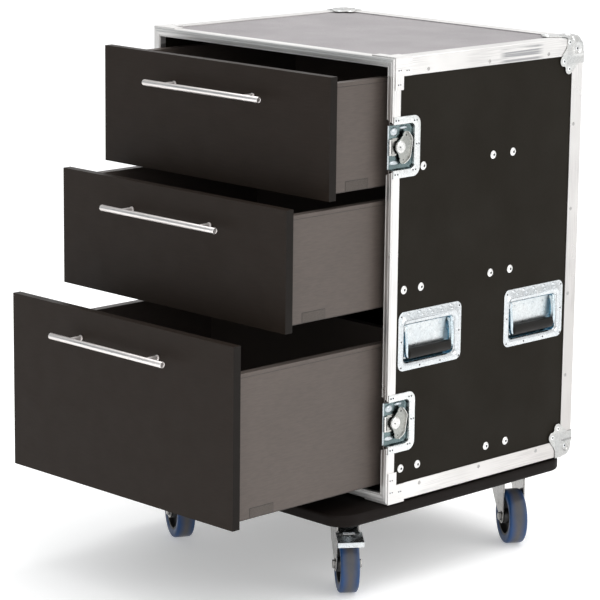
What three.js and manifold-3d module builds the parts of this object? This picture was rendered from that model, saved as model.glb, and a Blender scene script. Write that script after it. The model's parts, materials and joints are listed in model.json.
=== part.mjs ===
// Road case with three drawers: plywood panels in aluminium edging, on a castor board.
// Millimetres, +Z up. The front opening faces -Y and the right side faces +X.
import * as THREE from 'three';
import { mergeVertices } from 'three/addons/utils/BufferGeometryUtils.js';
import Module from 'manifold-3d';

const wasm = await Module();
wasm.setup();

// Case, measured over the aluminium edging
const CASE_WIDTH = 600;
const CASE_DEPTH = 490;
const CASE_HEIGHT = 770;
const PANEL_THICKNESS = 9;

// Clearance between seated pieces, and how far a cutting solid runs past what it cuts
const SEAT = 0.3;
const OVERRUN = 4;

// Aluminium angle along the edges
const EDGE_LEG = 31;
const EDGE_WALL = 1.5;
const EDGE_RADIUS = 3;

// Closing frame round the front opening
const RING_DEPTH = 16;
const RING_STRIP = 16;
const RING_WEB = 2;
const RING_GROOVE_INSET = 13.4;
const RING_GROOVE_WIDTH = 1.2;
const RING_GROOVE_DEPTH = 1;
const RING_NOTCH_FLARE = 7;

// Riveted brackets at the four front corners
const BRACKET_WALL = 1.2;
const BRACKET_WIDTH = 21;
const BRACKET_LENGTH = 54;
const BRACKET_REACH = 41;

// Ball corners at the four rear corners
const BALL_PROUD = 3;
const BALL_LENGTH = 30;
const BALL_SIZE = 46;
const BALL_SLEEVE_DROP = 1.4;
const BALL_RADIUS = 14;
const BALL_TIP_RADIUS = 30.5;
const BALL_TIP_INSET = 20;
const BALL_EDGE_CUT = 8;
const BALL_DIMPLE_RADIUS = 7.5;
const BALL_DIMPLE_DEPTH = 1.1;
const BALL_DIMPLE_OFFSET = 16.5;
const BALL_FLANGE_SETBACK = 24.5;
const BALL_FLANGE_WALL = 1.2;
const BALL_LOBE_RADIUS = 9.6;
const BALL_LOBE_NEAR = 37.5;
const BALL_LOBE_FAR = 52;
const BALL_LOBE_START = THREE.MathUtils.degToRad(-62);
const BALL_LOBE_END = THREE.MathUtils.degToRad(103);

// Plywood board that carries the case on four castors
const BOARD_FRONT_REACH = 110;
const BOARD_THICKNESS = 22;
const BOARD_CORNER_RADIUS = 40;
const BOARD_EDGE_RADIUS = 5;
const BOARD_EDGE_FACETS = 2;

// Castors
const CASTOR_HEIGHT = 132.7;
const CASTOR_SIDE_INSET = 80;
const CASTOR_FRONT_INSET = 88;
const CASTOR_REAR_INSET = 85;
const CASTOR_TRAIL = 38;
const CASTOR_PLATE_LENGTH = 100;
const CASTOR_PLATE_WIDTH = 85;
const CASTOR_PLATE_THICKNESS = 3;
const KINGPIN_RADIUS = 8;
const KINGPIN_HEAD_RADIUS = 12;
const KINGPIN_HEAD_THICKNESS = 3;
const CROWN_RADIUS = 27;
const CROWN_THICKNESS = 7;
const SWIVEL_PLAY = 0.6;
const FORK_WALL = 3;
const FORK_LEADING_REACH = 30;
const FORK_TRAILING_REACH = 50;
const FORK_SHOULDER_DROP = 24;
const FORK_EYE_RADIUS = 13;
const AXLE_RADIUS = 5;
const AXLE_HEAD_RADIUS = 8;
const AXLE_HEAD_THICKNESS = 5;
const CASTOR_TURN_SHARES = {
  front_right: -0.209,
  front_left: -0.148,
  rear_right: -0.179,
  rear_left: -0.16,
};

// Wheels
const WHEEL_RADIUS = 50;
const TYRE_WIDTH = 32;
const TYRE_SHOULDER = 5;
const TYRE_CROWN_INSET = 10;
const TYRE_BEAD = 2.5;
const TYRE_INNER_RADIUS = 34;
const HUB_RADIUS = 13;
const HUB_SIDE_PLAY = 0.4;
const TYRE_SIDE_PLAY = 1.6;
const WHEEL_WEB_THICKNESS = 12;
const WHEEL_SIDES = 20;

// Brake pedals on the front castors
const PEDAL_PIVOT_TRAIL = 26;
const PEDAL_PIVOT_DROP = 15.8;
const PEDAL_BARREL_RADIUS = 4;
const PEDAL_SHEET = 2.6;
const PEDAL_LENGTH = 60;
const PEDAL_FALL = 16;
const PEDAL_LIP = 9;
const PEDAL_WIDTH = 46;
const PEDAL_WIDE_LENGTH = 32;
const PEDAL_SLOT_LENGTH = 8;
const PEDAL_SLOT_WIDTH = 22;
const PEDAL_SLOT_OFFSET = 29;

// Recessed spring handles
const HANDLE_LENGTH = 159;
const HANDLE_HEIGHT = 104;
const HANDLE_CORNER = 13;
const HANDLE_SHEET = 1.2;
const HANDLE_DEPTH = 12;
const HANDLE_END_BORDER = 16.5;
const HANDLE_TOP_BORDER = 20;
const HANDLE_BOTTOM_BORDER = 14;
const HANDLE_DISH_CORNER = 7;
const HANDLE_RAIL_DROP = 59.3;
const HANDLE_FRONT_Y = 101;
const HANDLE_REAR_INSET = 116.5;
const HANDLE_STIFFENER_LENGTH = 22;
const HANDLE_STIFFENER_HEIGHT = 9;
const HANDLE_STIFFENER_RISE = 1.4;
const HANDLE_STIFFENER_PITCH = 34;

// Bail of the spring handle
const BAIL_PIVOT_DROP = 10.5;
const BAIL_PIVOT_DEPTH = 5;
const BAIL_BAR = 8;
const BAIL_ARM_WIDTH = 5;
const BAIL_END_PLAY = 0.4;
const BAIL_PIN_RADIUS = 3;
const BAIL_ARM_INSET = 3;
const GRIP_BOTTOM_GAP = 4.5;
const GRIP_HEIGHT = 22;
const GRIP_THICKNESS = 16;
const GRIP_BACK_GAP = 1.2;

// Recessed butterfly latches
const LATCH_HEIGHT_SHARES = { upper: 0.8042, lower: 0.1826 };
const LATCH_AXIS_Y = 20.7;
const LATCH_FLANGE_HEIGHT = 107;
const LATCH_FLANGE_DEPTH = 66;
const LATCH_FLANGE_CORNER = 12;
const LATCH_OPENING_HEIGHT = 77;
const LATCH_OPENING_DEPTH = 51.7;
const LATCH_DISH_CORNER = 9;
const LATCH_SHEET = 1.2;
const LATCH_FRONT_SETBACK = 0.6;

// Hook plate of the latch
const HOOK_WIDTH = 25;
const HOOK_SHEET = 1.2;
const HOOK_TRAVEL = 8;
const HOOK_FRONT_Y = 1;
const HOOK_BAR = 4.5;
const HOOK_WINDOW_LENGTH = 4.5;
const HOOK_WINDOW_WIDTH = 18;
const HOOK_TAIL = 15.5;
const HOOK_CAM_RADIUS = 4;

// Butterfly wing of the latch
const WING_SHEET = 1.5;
const WING_BOSS_RADIUS = 10;
const WING_BOSS_RISE = 3.2;
const WING_CAP_RADIUS = 6.5;
const WING_CAP_RISE = 0.8;
const WING_LOBE_RADIUS = 7;
const WING_LOBE_Y = 10;
const WING_LOBE_Z = 21;
const WING_BELLY = 21;
const WING_LIP_WALL = 1.4;
const WING_LIP_RISE = 3;
const WING_HOLE_RADIUS = 1.8;
const WING_HOLE_OFFSET = 0.9;
const WING_WAIST_Y = 2;
const WING_WAIST_Z = 12;
const WING_NECK_Y = 4;

// Drawers
const DRAWER_FRONT_THICKNESS = 16;
const DRAWER_FRONT_RECESS = 3;
const DRAWER_FRONT_SIDE_GAP = 2;
const DRAWER_FRONT_TOP_GAP = 6;
const DRAWER_FRONT_GAP = 3;
const DRAWER_REAR_ROOM = 40;
const DRAWER_SIDE_THICKNESS = 15;
const DRAWER_SIDE_RISE = 9;
const DRAWER_SIDE_DROP = 13.5;
const DEEP_DRAWER_SIDE_DROP = 51.5;
const DRAWER_SHEET = 1.2;
const DRAWER_BACK_THICKNESS = 16;
const DRAWER_BASE_THICKNESS = 16;
const DRAWER_BASE_LEDGE = 15;
const DRAWER_BASE_RISE = 8;

// Drawers from the bottom up: parts of the stacked height, and how much of its depth each drawer
// stands open in the resting pose
const DRAWER_HEIGHT_SHARES = { bottom: 0.4288, middle: 0.2856, top: 0.2856 };
const DRAWER_OPEN_SHARES = { bottom: 0.7791, middle: 0.5207, top: 0.3033 };

// Lower rear corner covers on the drawer sides
const HATCH_LENGTH = 53;
const HATCH_HEIGHT = 17;
const HATCH_SETBACK = 34;
const HATCH_DEPTH = 0.4;

// Bar pulls
const PULL_LENGTH = 288;
const PULL_RADIUS = 6;
const PULL_PROJECTION = 30;
const PULL_DROP = 49.5;
const PULL_POST_SPACING = 196;
const PULL_POST_RADIUS = 5;

// Concealed runners
const RUNNER_ROOM = 19.2;
const RAIL_SHEET = 2;
const RAIL_FLANGE_RISE = 38;
const RAIL_SHELF_DROP = 3.5;
const RAIL_UPRIGHT_HEIGHT = 20.6;
const CARRIAGE_SHORTFALL = 20;
const CARRIAGE_SHEET = 1.4;
const CARRIAGE_SIDE_PLAY = 1.4;
const CARRIAGE_HEIGHT = 17;

// Segments of a quarter turn on small and on large round forms
const SMALL_ARC = 3;
const LARGE_ARC = 4;
const HEX_SIDES = 6;
const PIN_SIDES = 8;
const ROD_SIDES = 12;
const DISC_SIDES = 16;

// Positions worked out from the sizes above
const HALF_WIDTH = CASE_WIDTH / 2;
const PANEL_INSET = EDGE_WALL + SEAT;
const PANEL_OUTER_X = HALF_WIDTH - PANEL_INSET;
const PANEL_INNER_X = PANEL_OUTER_X - PANEL_THICKNESS;
const PANEL_TOP_Z = CASE_HEIGHT - PANEL_INSET;
const PANEL_REAR_Y = CASE_DEPTH - PANEL_INSET;
const DRAWER_DEPTH = CASE_DEPTH - DRAWER_REAR_ROOM;
const DRAWER_WIDTH = 2 * (PANEL_INNER_X - RUNNER_ROOM);
const DRAWER_FRONT_WIDTH = 2 * (HALF_WIDTH - RING_STRIP - DRAWER_FRONT_SIDE_GAP);
const RAIL_LENGTH = DRAWER_DEPTH;
const CARRIAGE_LENGTH = RAIL_LENGTH - CARRIAGE_SHORTFALL;
const BOARD_TOP_Z = -(BALL_PROUD + SEAT);
const BOARD_UNDER_Z = BOARD_TOP_Z - BOARD_THICKNESS;
const FLOOR_Z = BOARD_UNDER_Z - CASTOR_HEIGHT;
const DRAWERS = stackDrawers();
const PULL_FRONT_Y = DRAWER_FRONT_RECESS - DRAWERS.bottom.open - PULL_PROJECTION - PULL_RADIUS;
const CENTRE_Y = (CASE_DEPTH + BALL_PROUD + PULL_FRONT_Y) / 2;
const HANDLE_CENTRE_Z = DRAWERS.middle.side[0] - HANDLE_RAIL_DROP;
const LATCH_HEIGHTS = {
  upper: CASE_HEIGHT * LATCH_HEIGHT_SHARES.upper,
  lower: CASE_HEIGHT * LATCH_HEIGHT_SHARES.lower,
};
const HANDLE_PLACES = { front: HANDLE_FRONT_Y, rear: CASE_DEPTH - HANDLE_REAR_INSET };

// Lower and upper heights of each drawer's front and sides, stacked from the bottom
function stackDrawers() {
  const names = Object.keys(DRAWER_HEIGHT_SHARES);
  const room = CASE_HEIGHT - 2 * RING_STRIP - DRAWER_FRONT_TOP_GAP - names.length * DRAWER_FRONT_GAP;
  const drawers = {};
  let bottom = RING_STRIP + DRAWER_FRONT_GAP;
  let sideDrop = DEEP_DRAWER_SIDE_DROP;
  for (const name of names) {
    const top = bottom + room * DRAWER_HEIGHT_SHARES[name];
    drawers[name] = {
      front: [bottom, top],
      side: [bottom + DRAWER_SIDE_RISE, top - sideDrop],
      open: DRAWER_DEPTH * DRAWER_OPEN_SHARES[name],
    };
    bottom = top + DRAWER_FRONT_GAP;
    sideDrop = DRAWER_SIDE_DROP;
  }
  return drawers;
}

// Materials
function finish(color, roughness, metalness) {
  return () => new THREE.MeshStandardMaterial({ color, roughness, metalness });
}

const sidePly = finish(0x322f2a, 0.7, 0);
const topPly = finish(0xa59ea3, 0.8, 0);
const boardPly = finish(0x2a2523, 0.6, 0);
const aluminium = finish(0xd6d6d4, 0.35, 0.9);
const zincSteel = finish(0xb9c0c2, 0.3, 0.95);
const frontLaminate = finish(0x3f3735, 0.5, 0);
const drawerSteel = finish(0x6c615c, 0.45, 0.5);
const darkBoard = finish(0x4a4340, 0.7, 0);
const pullSteel = finish(0xd8d4cf, 0.25, 1);
const blackRubber = finish(0x1b1b1c, 0.6, 0);
const tyreBlue = finish(0x33476b, 0.7, 0);

// Solids from closed geometries
function toSolid(geometry) {
  const bare = geometry.clone();
  bare.deleteAttribute('normal');
  bare.deleteAttribute('uv');
  const merged = mergeVertices(bare);
  const mesh = new wasm.Mesh({
    numProp: 3,
    vertProperties: new Float32Array(merged.attributes.position.array),
    triVerts: new Uint32Array(merged.index.array),
  });
  return new wasm.Manifold(mesh);
}

function toGeometry(solid) {
  const mesh = solid.getMesh();
  const geometry = new THREE.BufferGeometry();
  geometry.setAttribute('position', new THREE.BufferAttribute(mesh.vertProperties, mesh.numProp));
  geometry.setIndex(new THREE.BufferAttribute(mesh.triVerts, 1));
  const faceted = geometry.toNonIndexed();
  faceted.computeVertexNormals();
  return faceted;
}

function join(...solids) {
  return solids.reduce((whole, piece) => whole.add(piece));
}

function cut(solid, ...tools) {
  return tools.reduce((rest, tool) => rest.subtract(tool), solid);
}

function common(...solids) {
  return solids.reduce((shared, solid) => shared.intersect(solid));
}

// Turns the outside of a reflected geometry out again
function reflected(geometry, axis) {
  const scale = new THREE.Vector3(1, 1, 1).setComponent(axis, -1);
  const copy = geometry.clone().scale(scale.x, scale.y, scale.z);
  const points = copy.attributes.position;
  const first = new THREE.Vector3();
  const second = new THREE.Vector3();
  for (let i = 0; i < points.count; i += 3) {
    first.fromBufferAttribute(points, i);
    second.fromBufferAttribute(points, i + 1);
    points.setXYZ(i, second.x, second.y, second.z);
    points.setXYZ(i + 1, first.x, first.y, first.z);
  }
  copy.computeVertexNormals();
  return copy;
}

// Box between two corners
function box([x0, y0, z0], [x1, y1, z1]) {
  const geometry = new THREE.BoxGeometry(x1 - x0, y1 - y0, z1 - z0);
  return toSolid(geometry.translate((x0 + x1) / 2, (y0 + y1) / 2, (z0 + z1) / 2));
}

// Extrudes an outline along an axis; its plane is YZ for x, XZ for y and XY for z
const AXES = {
  x: [[0, 1, 0], [0, 0, 1], [1, 0, 0]],
  y: [[1, 0, 0], [0, 0, 1], [0, -1, 0]],
  z: [[1, 0, 0], [0, 1, 0], [0, 0, 1]],
};

function prism(outline, axis, from, to, curveSegments = SMALL_ARC) {
  const geometry = new THREE.ExtrudeGeometry(outline, {
    depth: to - from,
    bevelEnabled: false,
    curveSegments,
  });
  const basis = AXES[axis].map((direction) => new THREE.Vector3(...direction));
  geometry.applyMatrix4(new THREE.Matrix4().makeBasis(...basis));
  const start = basis[2].multiplyScalar(axis === 'y' ? -to : from);
  return toSolid(geometry.translate(start.x, start.y, start.z));
}

// Cylinder along an axis between two places on it
function rod(axis, radius, from, to, sides = ROD_SIDES) {
  const geometry = new THREE.CylinderGeometry(radius, radius, to - from, sides);
  const middle = (from + to) / 2;
  if (axis === 'x') geometry.rotateZ(-Math.PI / 2).translate(middle, 0, 0);
  if (axis === 'y') geometry.translate(0, middle, 0);
  if (axis === 'z') geometry.rotateX(Math.PI / 2).translate(0, 0, middle);
  return toSolid(geometry);
}

// Outline of a rectangle with rounded corners, radii in the order of its corners
function roundedRectangle(u0, v0, u1, v1, radii) {
  const [r0, r1, r2, r3] = Array.isArray(radii) ? radii : [radii, radii, radii, radii];
  const shape = new THREE.Shape();
  shape.moveTo(u0 + r0, v0);
  shape.lineTo(u1 - r1, v0);
  if (r1 > 0) shape.absarc(u1 - r1, v0 + r1, r1, -Math.PI / 2, 0);
  shape.lineTo(u1, v1 - r2);
  if (r2 > 0) shape.absarc(u1 - r2, v1 - r2, r2, 0, Math.PI / 2);
  shape.lineTo(u0 + r3, v1);
  if (r3 > 0) shape.absarc(u0 + r3, v1 - r3, r3, Math.PI / 2, Math.PI);
  shape.lineTo(u0, v0 + r0);
  if (r0 > 0) shape.absarc(u0 + r0, v0 + r0, r0, Math.PI, Math.PI * 3 / 2);
  return shape;
}

function polygon(points) {
  return new THREE.Shape(points.map(([u, v]) => new THREE.Vector2(u, v)));
}

// Named mesh
function part(name, solid, material, reflectedAxis) {
  const plain = toGeometry(solid);
  const geometry = reflectedAxis === undefined ? plain : reflected(plain, reflectedAxis);
  const mesh = new THREE.Mesh(geometry, material());
  mesh.name = name;
  return mesh;
}

// Case shell

// Envelope of the edging with its rounded edges
function edgeEnvelope() {
  const side = roundedRectangle(0, 0, CASE_DEPTH, CASE_HEIGHT, EDGE_RADIUS);
  const front = roundedRectangle(-HALF_WIDTH, 0, HALF_WIDTH, CASE_HEIGHT, EDGE_RADIUS);
  const plan = roundedRectangle(-HALF_WIDTH, 0, HALF_WIDTH, CASE_DEPTH, EDGE_RADIUS);
  return common(
    prism(side, 'x', -HALF_WIDTH, HALF_WIDTH),
    prism(front, 'y', 0, CASE_DEPTH),
    prism(plan, 'z', 0, CASE_HEIGHT),
  );
}

// Clears the room for the ball corners along the three edges that meet at each rear corner
function ballRoom(gap) {
  const reach = BALL_SIZE + gap;
  const deep = BALL_EDGE_CUT + gap;
  const bars = [];
  for (const side of [-1, 1]) {
    for (const top of [false, true]) {
      const spanX = (size) => (side > 0
        ? [HALF_WIDTH - size, HALF_WIDTH + OVERRUN]
        : [-HALF_WIDTH - OVERRUN, -HALF_WIDTH + size]);
      const spanZ = (size) => (top ? [CASE_HEIGHT - size, CASE_HEIGHT + OVERRUN] : [-OVERRUN, size]);
      const bar = (sizeX, sizeY, sizeZ) => {
        const [x0, x1] = spanX(sizeX);
        const [z0, z1] = spanZ(sizeZ);
        return box([x0, CASE_DEPTH - sizeY, z0], [x1, CASE_DEPTH + OVERRUN, z1]);
      };
      bars.push(bar(reach, deep, deep), bar(deep, reach, deep), bar(deep, deep, reach));
    }
  }
  return join(...bars);
}

const ballCuts = ballRoom(SEAT);

function edgeFrame() {
  const start = RING_DEPTH + SEAT;
  const inner = box(
    [-HALF_WIDTH + EDGE_WALL, -OVERRUN, EDGE_WALL],
    [HALF_WIDTH - EDGE_WALL, CASE_DEPTH - EDGE_WALL, CASE_HEIGHT - EDGE_WALL],
  );
  const windowX = HALF_WIDTH - EDGE_LEG;
  const windowY = CASE_DEPTH - EDGE_LEG;
  const windowZ = [EDGE_LEG, CASE_HEIGHT - EDGE_LEG];
  return cut(
    edgeEnvelope(),
    inner,
    box([-HALF_WIDTH - OVERRUN, -OVERRUN, -OVERRUN], [HALF_WIDTH + OVERRUN, start, CASE_HEIGHT + OVERRUN]),
    box([-HALF_WIDTH - OVERRUN, 0, windowZ[0]], [HALF_WIDTH + OVERRUN, windowY, windowZ[1]]),
    box([-windowX, 0, -OVERRUN], [windowX, windowY, CASE_HEIGHT + OVERRUN]),
    box([-windowX, windowY, windowZ[0]], [windowX, CASE_DEPTH + OVERRUN, windowZ[1]]),
    ballCuts,
  );
}

function topPanel() {
  const half = PANEL_INNER_X - SEAT;
  const under = PANEL_TOP_Z - PANEL_THICKNESS;
  return cut(box([-half, PANEL_INSET + SEAT, under], [half, PANEL_REAR_Y, PANEL_TOP_Z]), ballCuts);
}

function bottomPanel() {
  const half = PANEL_INNER_X - SEAT;
  const over = PANEL_INSET + PANEL_THICKNESS;
  return cut(box([-half, PANEL_INSET + SEAT, PANEL_INSET], [half, PANEL_REAR_Y, over]), ballCuts);
}

function backPanel() {
  const half = PANEL_INNER_X - SEAT;
  const over = PANEL_INSET + PANEL_THICKNESS + SEAT;
  const front = PANEL_REAR_Y - PANEL_THICKNESS;
  return box([-half, front, over], [half, PANEL_REAR_Y, CASE_HEIGHT - over]);
}

// Fixed rail of a runner: a flange on the panel, a shelf and the upright that the carriage rides on
function fixedRail(sideBottom) {
  const shelf = sideBottom - RAIL_SHELF_DROP;
  const upright = runnerUprightX();
  const y0 = DRAWER_FRONT_RECESS + DRAWER_FRONT_THICKNESS + SEAT;
  const y1 = y0 + RAIL_LENGTH;
  return join(
    box([PANEL_INNER_X - RAIL_SHEET, y0, shelf], [PANEL_INNER_X + SEAT, y1, shelf + RAIL_FLANGE_RISE]),
    box([upright - RAIL_SHEET / 2, y0, shelf], [PANEL_INNER_X, y1, shelf + RAIL_SHEET]),
    box(
      [upright - RAIL_SHEET / 2, y0, shelf],
      [upright + RAIL_SHEET / 2, y1, sideBottom + RAIL_UPRIGHT_HEIGHT],
    ),
  );
}

// Middle of the hollow in a drawer side
function runnerUprightX() {
  return DRAWER_WIDTH / 2 - DRAWER_SIDE_THICKNESS / 2;
}

function sidePanel() {
  const blank = box(
    [PANEL_INNER_X, PANEL_INSET + SEAT, PANEL_INSET],
    [PANEL_OUTER_X, PANEL_REAR_Y, PANEL_TOP_Z],
  );
  const latchMargin = LATCH_SHEET + SEAT;
  const latchHoles = Object.values(LATCH_HEIGHTS)
    .map((z) => latchRecess(latchMargin, latchMargin + OVERRUN).translate([HALF_WIDTH, LATCH_AXIS_Y, z]));
  const handleHoles = Object.values(HANDLE_PLACES)
    .map((y) => handleTub(HANDLE_SHEET + SEAT, OVERRUN).translate([HALF_WIDTH, y, HANDLE_CENTRE_Z]));
  const rails = Object.values(DRAWERS).map((drawer) => fixedRail(drawer.side[0]));
  return join(cut(blank, ...latchHoles, ...handleHoles, ballCuts), ...rails);
}

// Closing frame with its groove, the notches for the latches and the corner brackets
function ringWall(inset, wall, y0, y1) {
  const outer = box(
    [-HALF_WIDTH + inset, y0, inset],
    [HALF_WIDTH - inset, y1, CASE_HEIGHT - inset],
  );
  const past = inset + wall;
  const inner = box(
    [-HALF_WIDTH + past, y0 - OVERRUN, past],
    [HALF_WIDTH - past, y1 + OVERRUN, CASE_HEIGHT - past],
  );
  return cut(outer, inner);
}

function latchNotch(side, z) {
  const half = LATCH_OPENING_HEIGHT / 2 + LATCH_SHEET + SEAT;
  const slope = RING_NOTCH_FLARE / RING_STRIP;
  const inner = RING_STRIP + OVERRUN;
  const x0 = side * (HALF_WIDTH + OVERRUN);
  const x1 = side * (HALF_WIDTH - inner);
  const outerHalf = half - OVERRUN * slope;
  const innerHalf = half + inner * slope;
  const outline = polygon([
    [x0, z - outerHalf],
    [x1, z - innerHalf],
    [x1, z + innerHalf],
    [x0, z + outerHalf],
  ]);
  return prism(outline, 'y', -OVERRUN, RING_DEPTH + OVERRUN);
}

function cornerBracket() {
  const proud = SEAT + BRACKET_WALL;
  const sink = EDGE_WALL / 2;
  const z = CASE_HEIGHT;
  const arms = [
    { drop: BRACKET_LENGTH, depth: BRACKET_WIDTH },
    { drop: EDGE_LEG, depth: BRACKET_REACH },
  ];
  const upright = arms.map(({ drop, depth }) => box(
    [HALF_WIDTH + SEAT, sink, z - drop],
    [HALF_WIDTH + proud, depth, z + proud - sink],
  ));
  const flat = arms.map(({ drop, depth }) => box(
    [HALF_WIDTH - drop, sink, z + SEAT],
    [HALF_WIDTH + proud, depth, z + proud],
  ));
  const root = box(
    [HALF_WIDTH - sink, sink, z - BRACKET_LENGTH],
    [HALF_WIDTH + SEAT + sink, RING_DEPTH, z + SEAT + sink],
  );
  const crown = box(
    [HALF_WIDTH - BRACKET_LENGTH, sink, z - sink],
    [HALF_WIDTH + SEAT, RING_DEPTH, z + SEAT + sink],
  );
  return join(...upright, ...flat, root, crown);
}

function frontFrame() {
  const innerWall = HALF_WIDTH - PANEL_INNER_X + SEAT;
  const ring = join(
    ringWall(0, EDGE_WALL, 0, RING_DEPTH),
    ringWall(0, RING_STRIP, 0, RING_WEB),
  );
  const notches = [-1, 1].flatMap((side) => Object.values(LATCH_HEIGHTS)
    .map((z) => latchNotch(side, z)));
  const rounded = common(ring, edgeEnvelope());
  const grooved = cut(
    rounded,
    ringWall(RING_GROOVE_INSET, RING_GROOVE_WIDTH, -OVERRUN, RING_GROOVE_DEPTH),
    ...notches,
  );
  const tongue = ringWall(innerWall, EDGE_WALL, RING_WEB - EDGE_WALL / 2, RING_DEPTH);
  const bracket = cornerBracket();
  const turned = (x, z) => bracket.scale([x, 1, z]).translate([0, 0, z < 0 ? CASE_HEIGHT : 0]);
  return join(grooved, tongue, bracket, turned(-1, 1), turned(1, -1), turned(-1, -1));
}

// Ball corner of the upper right rear corner, with its case corner at the origin
function ballCorner() {
  const ball = roundedBlock(-BALL_LENGTH, BALL_PROUD, BALL_RADIUS);
  const tip = new THREE.SphereGeometry(BALL_TIP_RADIUS, DISC_SIDES, DISC_SIDES / 2)
    .translate(-BALL_TIP_INSET, -BALL_TIP_INSET, -BALL_TIP_INSET);
  const sleeves = cut(
    roundedBlock(-BALL_SIZE, BALL_PROUD - BALL_SLEEVE_DROP, BALL_RADIUS - BALL_SLEEVE_DROP),
    box([-BALL_LENGTH, -BALL_LENGTH, -BALL_LENGTH], [OVERRUN, OVERRUN, OVERRUN]),
  );
  const bar = (x, y, z) => box([-x, -y, -z], [OVERRUN, OVERRUN, OVERRUN]);
  const beyond = BALL_SIZE + OVERRUN;
  const corner = cut(
    box([-beyond, -beyond, -beyond], [SEAT, SEAT, SEAT]),
    bar(beyond, BALL_EDGE_CUT, BALL_EDGE_CUT),
    bar(BALL_EDGE_CUT, beyond, BALL_EDGE_CUT),
    bar(BALL_EDGE_CUT, BALL_EDGE_CUT, beyond),
  );
  const floor = BALL_PROUD - BALL_DIMPLE_DEPTH;
  const dimple = rod('z', BALL_DIMPLE_RADIUS, floor, BALL_PROUD + OVERRUN, PIN_SIDES)
    .translate([-BALL_DIMPLE_OFFSET, -BALL_DIMPLE_OFFSET, 0]);
  const quarterTurn = THREE.MathUtils.radToDeg(Math.PI / 2);
  const dimples = [dimple, dimple.rotate([0, quarterTurn, 0]), dimple.rotate([-quarterTurn, 0, 0])];
  const pressing = join(common(ball, toSolid(tip)), sleeves);
  return join(cut(pressing, corner, ...dimples), ballFlanges());
}

// Cube between two levels on every axis, its three outer edges rounded
function roundedBlock(low, high, radius) {
  const section = roundedRectangle(low, low, high, high, [0, 0, radius, 0]);
  const bars = ['x', 'y', 'z'].map((axis) => prism(section, axis, low, high, LARGE_ARC));
  return common(...bars);
}

// Two-lobed flanges on the three outer faces
function ballFlanges() {
  const mirrored = Math.PI / 2;
  const shape = new THREE.Shape();
  const lobe = (u, v, start, end) => shape.absarc(-u, -v, BALL_LOBE_RADIUS, Math.PI + start, Math.PI + end);
  shape.moveTo(-BALL_LENGTH, -BALL_FLANGE_SETBACK);
  shape.lineTo(-BALL_SIZE, -BALL_FLANGE_SETBACK);
  lobe(BALL_LOBE_FAR, BALL_LOBE_NEAR, BALL_LOBE_START, BALL_LOBE_END);
  lobe(BALL_LOBE_NEAR, BALL_LOBE_FAR, mirrored - BALL_LOBE_END, mirrored - BALL_LOBE_START);
  shape.lineTo(-BALL_FLANGE_SETBACK, -BALL_SIZE);
  shape.lineTo(-BALL_FLANGE_SETBACK, -BALL_LENGTH);
  const edge = SEAT + BALL_FLANGE_WALL;
  const plates = ['x', 'y', 'z'].map((axis) => prism(shape, axis, SEAT, edge, LARGE_ARC));
  return join(...plates);
}

// Castor board with the castor plates and kingpins bolted under it
function castorBoard() {
  const half = HALF_WIDTH - BOARD_EDGE_RADIUS;
  const outline = roundedRectangle(
    -half,
    BOARD_EDGE_RADIUS - BOARD_FRONT_REACH,
    half,
    CASE_DEPTH - BOARD_EDGE_RADIUS,
    BOARD_CORNER_RADIUS - BOARD_EDGE_RADIUS,
  );
  const geometry = new THREE.ExtrudeGeometry(outline, {
    depth: BOARD_THICKNESS - 2 * BOARD_EDGE_RADIUS,
    bevelThickness: BOARD_EDGE_RADIUS,
    bevelSize: BOARD_EDGE_RADIUS,
    bevelSegments: BOARD_EDGE_FACETS,
    curveSegments: SMALL_ARC,
  });
  const board = toSolid(geometry.translate(0, 0, BOARD_UNDER_Z + BOARD_EDGE_RADIUS));
  const hardware = castorPlaces().map(({ x, y }) => castorPlate().translate([x, y, BOARD_UNDER_Z]));
  return join(board, ...hardware);
}

function castorPlate() {
  const x = CASTOR_PLATE_LENGTH / 2;
  const y = CASTOR_PLATE_WIDTH / 2;
  const under = -CASTOR_PLATE_THICKNESS;
  const head = under - CROWN_THICKNESS - SWIVEL_PLAY;
  return join(
    box([-x, -y, under], [x, y, SEAT]),
    rod('z', KINGPIN_RADIUS, head - SEAT, under + SEAT, PIN_SIDES),
    rod('z', KINGPIN_HEAD_RADIUS, head - KINGPIN_HEAD_THICKNESS, head, HEX_SIDES),
  );
}

function castorPlaces() {
  const half = HALF_WIDTH - CASTOR_SIDE_INSET;
  const front = CASTOR_FRONT_INSET - BOARD_FRONT_REACH;
  const rear = CASE_DEPTH - CASTOR_REAR_INSET;
  return Object.entries(CASTOR_TURN_SHARES).map(([name, turnShare]) => ({
    name,
    x: name.endsWith('right') ? half : -half,
    y: name.startsWith('front') ? front : rear,
    turn: turnShare * Math.PI,
    braked: name.startsWith('front'),
  }));
}

// Castor fork about its swivel axis, trailing towards +X, z = 0 at the underside of the board
const CROWN_TOP_Z = -(CASTOR_PLATE_THICKNESS + SEAT);
const CROWN_UNDER_Z = CROWN_TOP_Z - CROWN_THICKNESS;
const AXLE_Z = WHEEL_RADIUS - CASTOR_HEIGHT;
const FORK_INSIDE = TYRE_WIDTH / 2 + TYRE_SIDE_PLAY;
const FORK_OUTSIDE = FORK_INSIDE + FORK_WALL;

function forkSide() {
  const shape = new THREE.Shape();
  const shoulder = CROWN_UNDER_Z - FORK_SHOULDER_DROP;
  const waist = (AXLE_Z + shoulder) / 2;
  shape.moveTo(-FORK_LEADING_REACH, CROWN_UNDER_Z + FORK_WALL);
  shape.lineTo(FORK_TRAILING_REACH, CROWN_UNDER_Z + FORK_WALL);
  shape.lineTo(CASTOR_TRAIL + FORK_EYE_RADIUS, AXLE_Z);
  shape.absarc(CASTOR_TRAIL, AXLE_Z, FORK_EYE_RADIUS, 0, -Math.PI, true);
  shape.quadraticCurveTo(-FORK_LEADING_REACH / 2, waist, -FORK_LEADING_REACH, shoulder);
  return shape;
}

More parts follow.
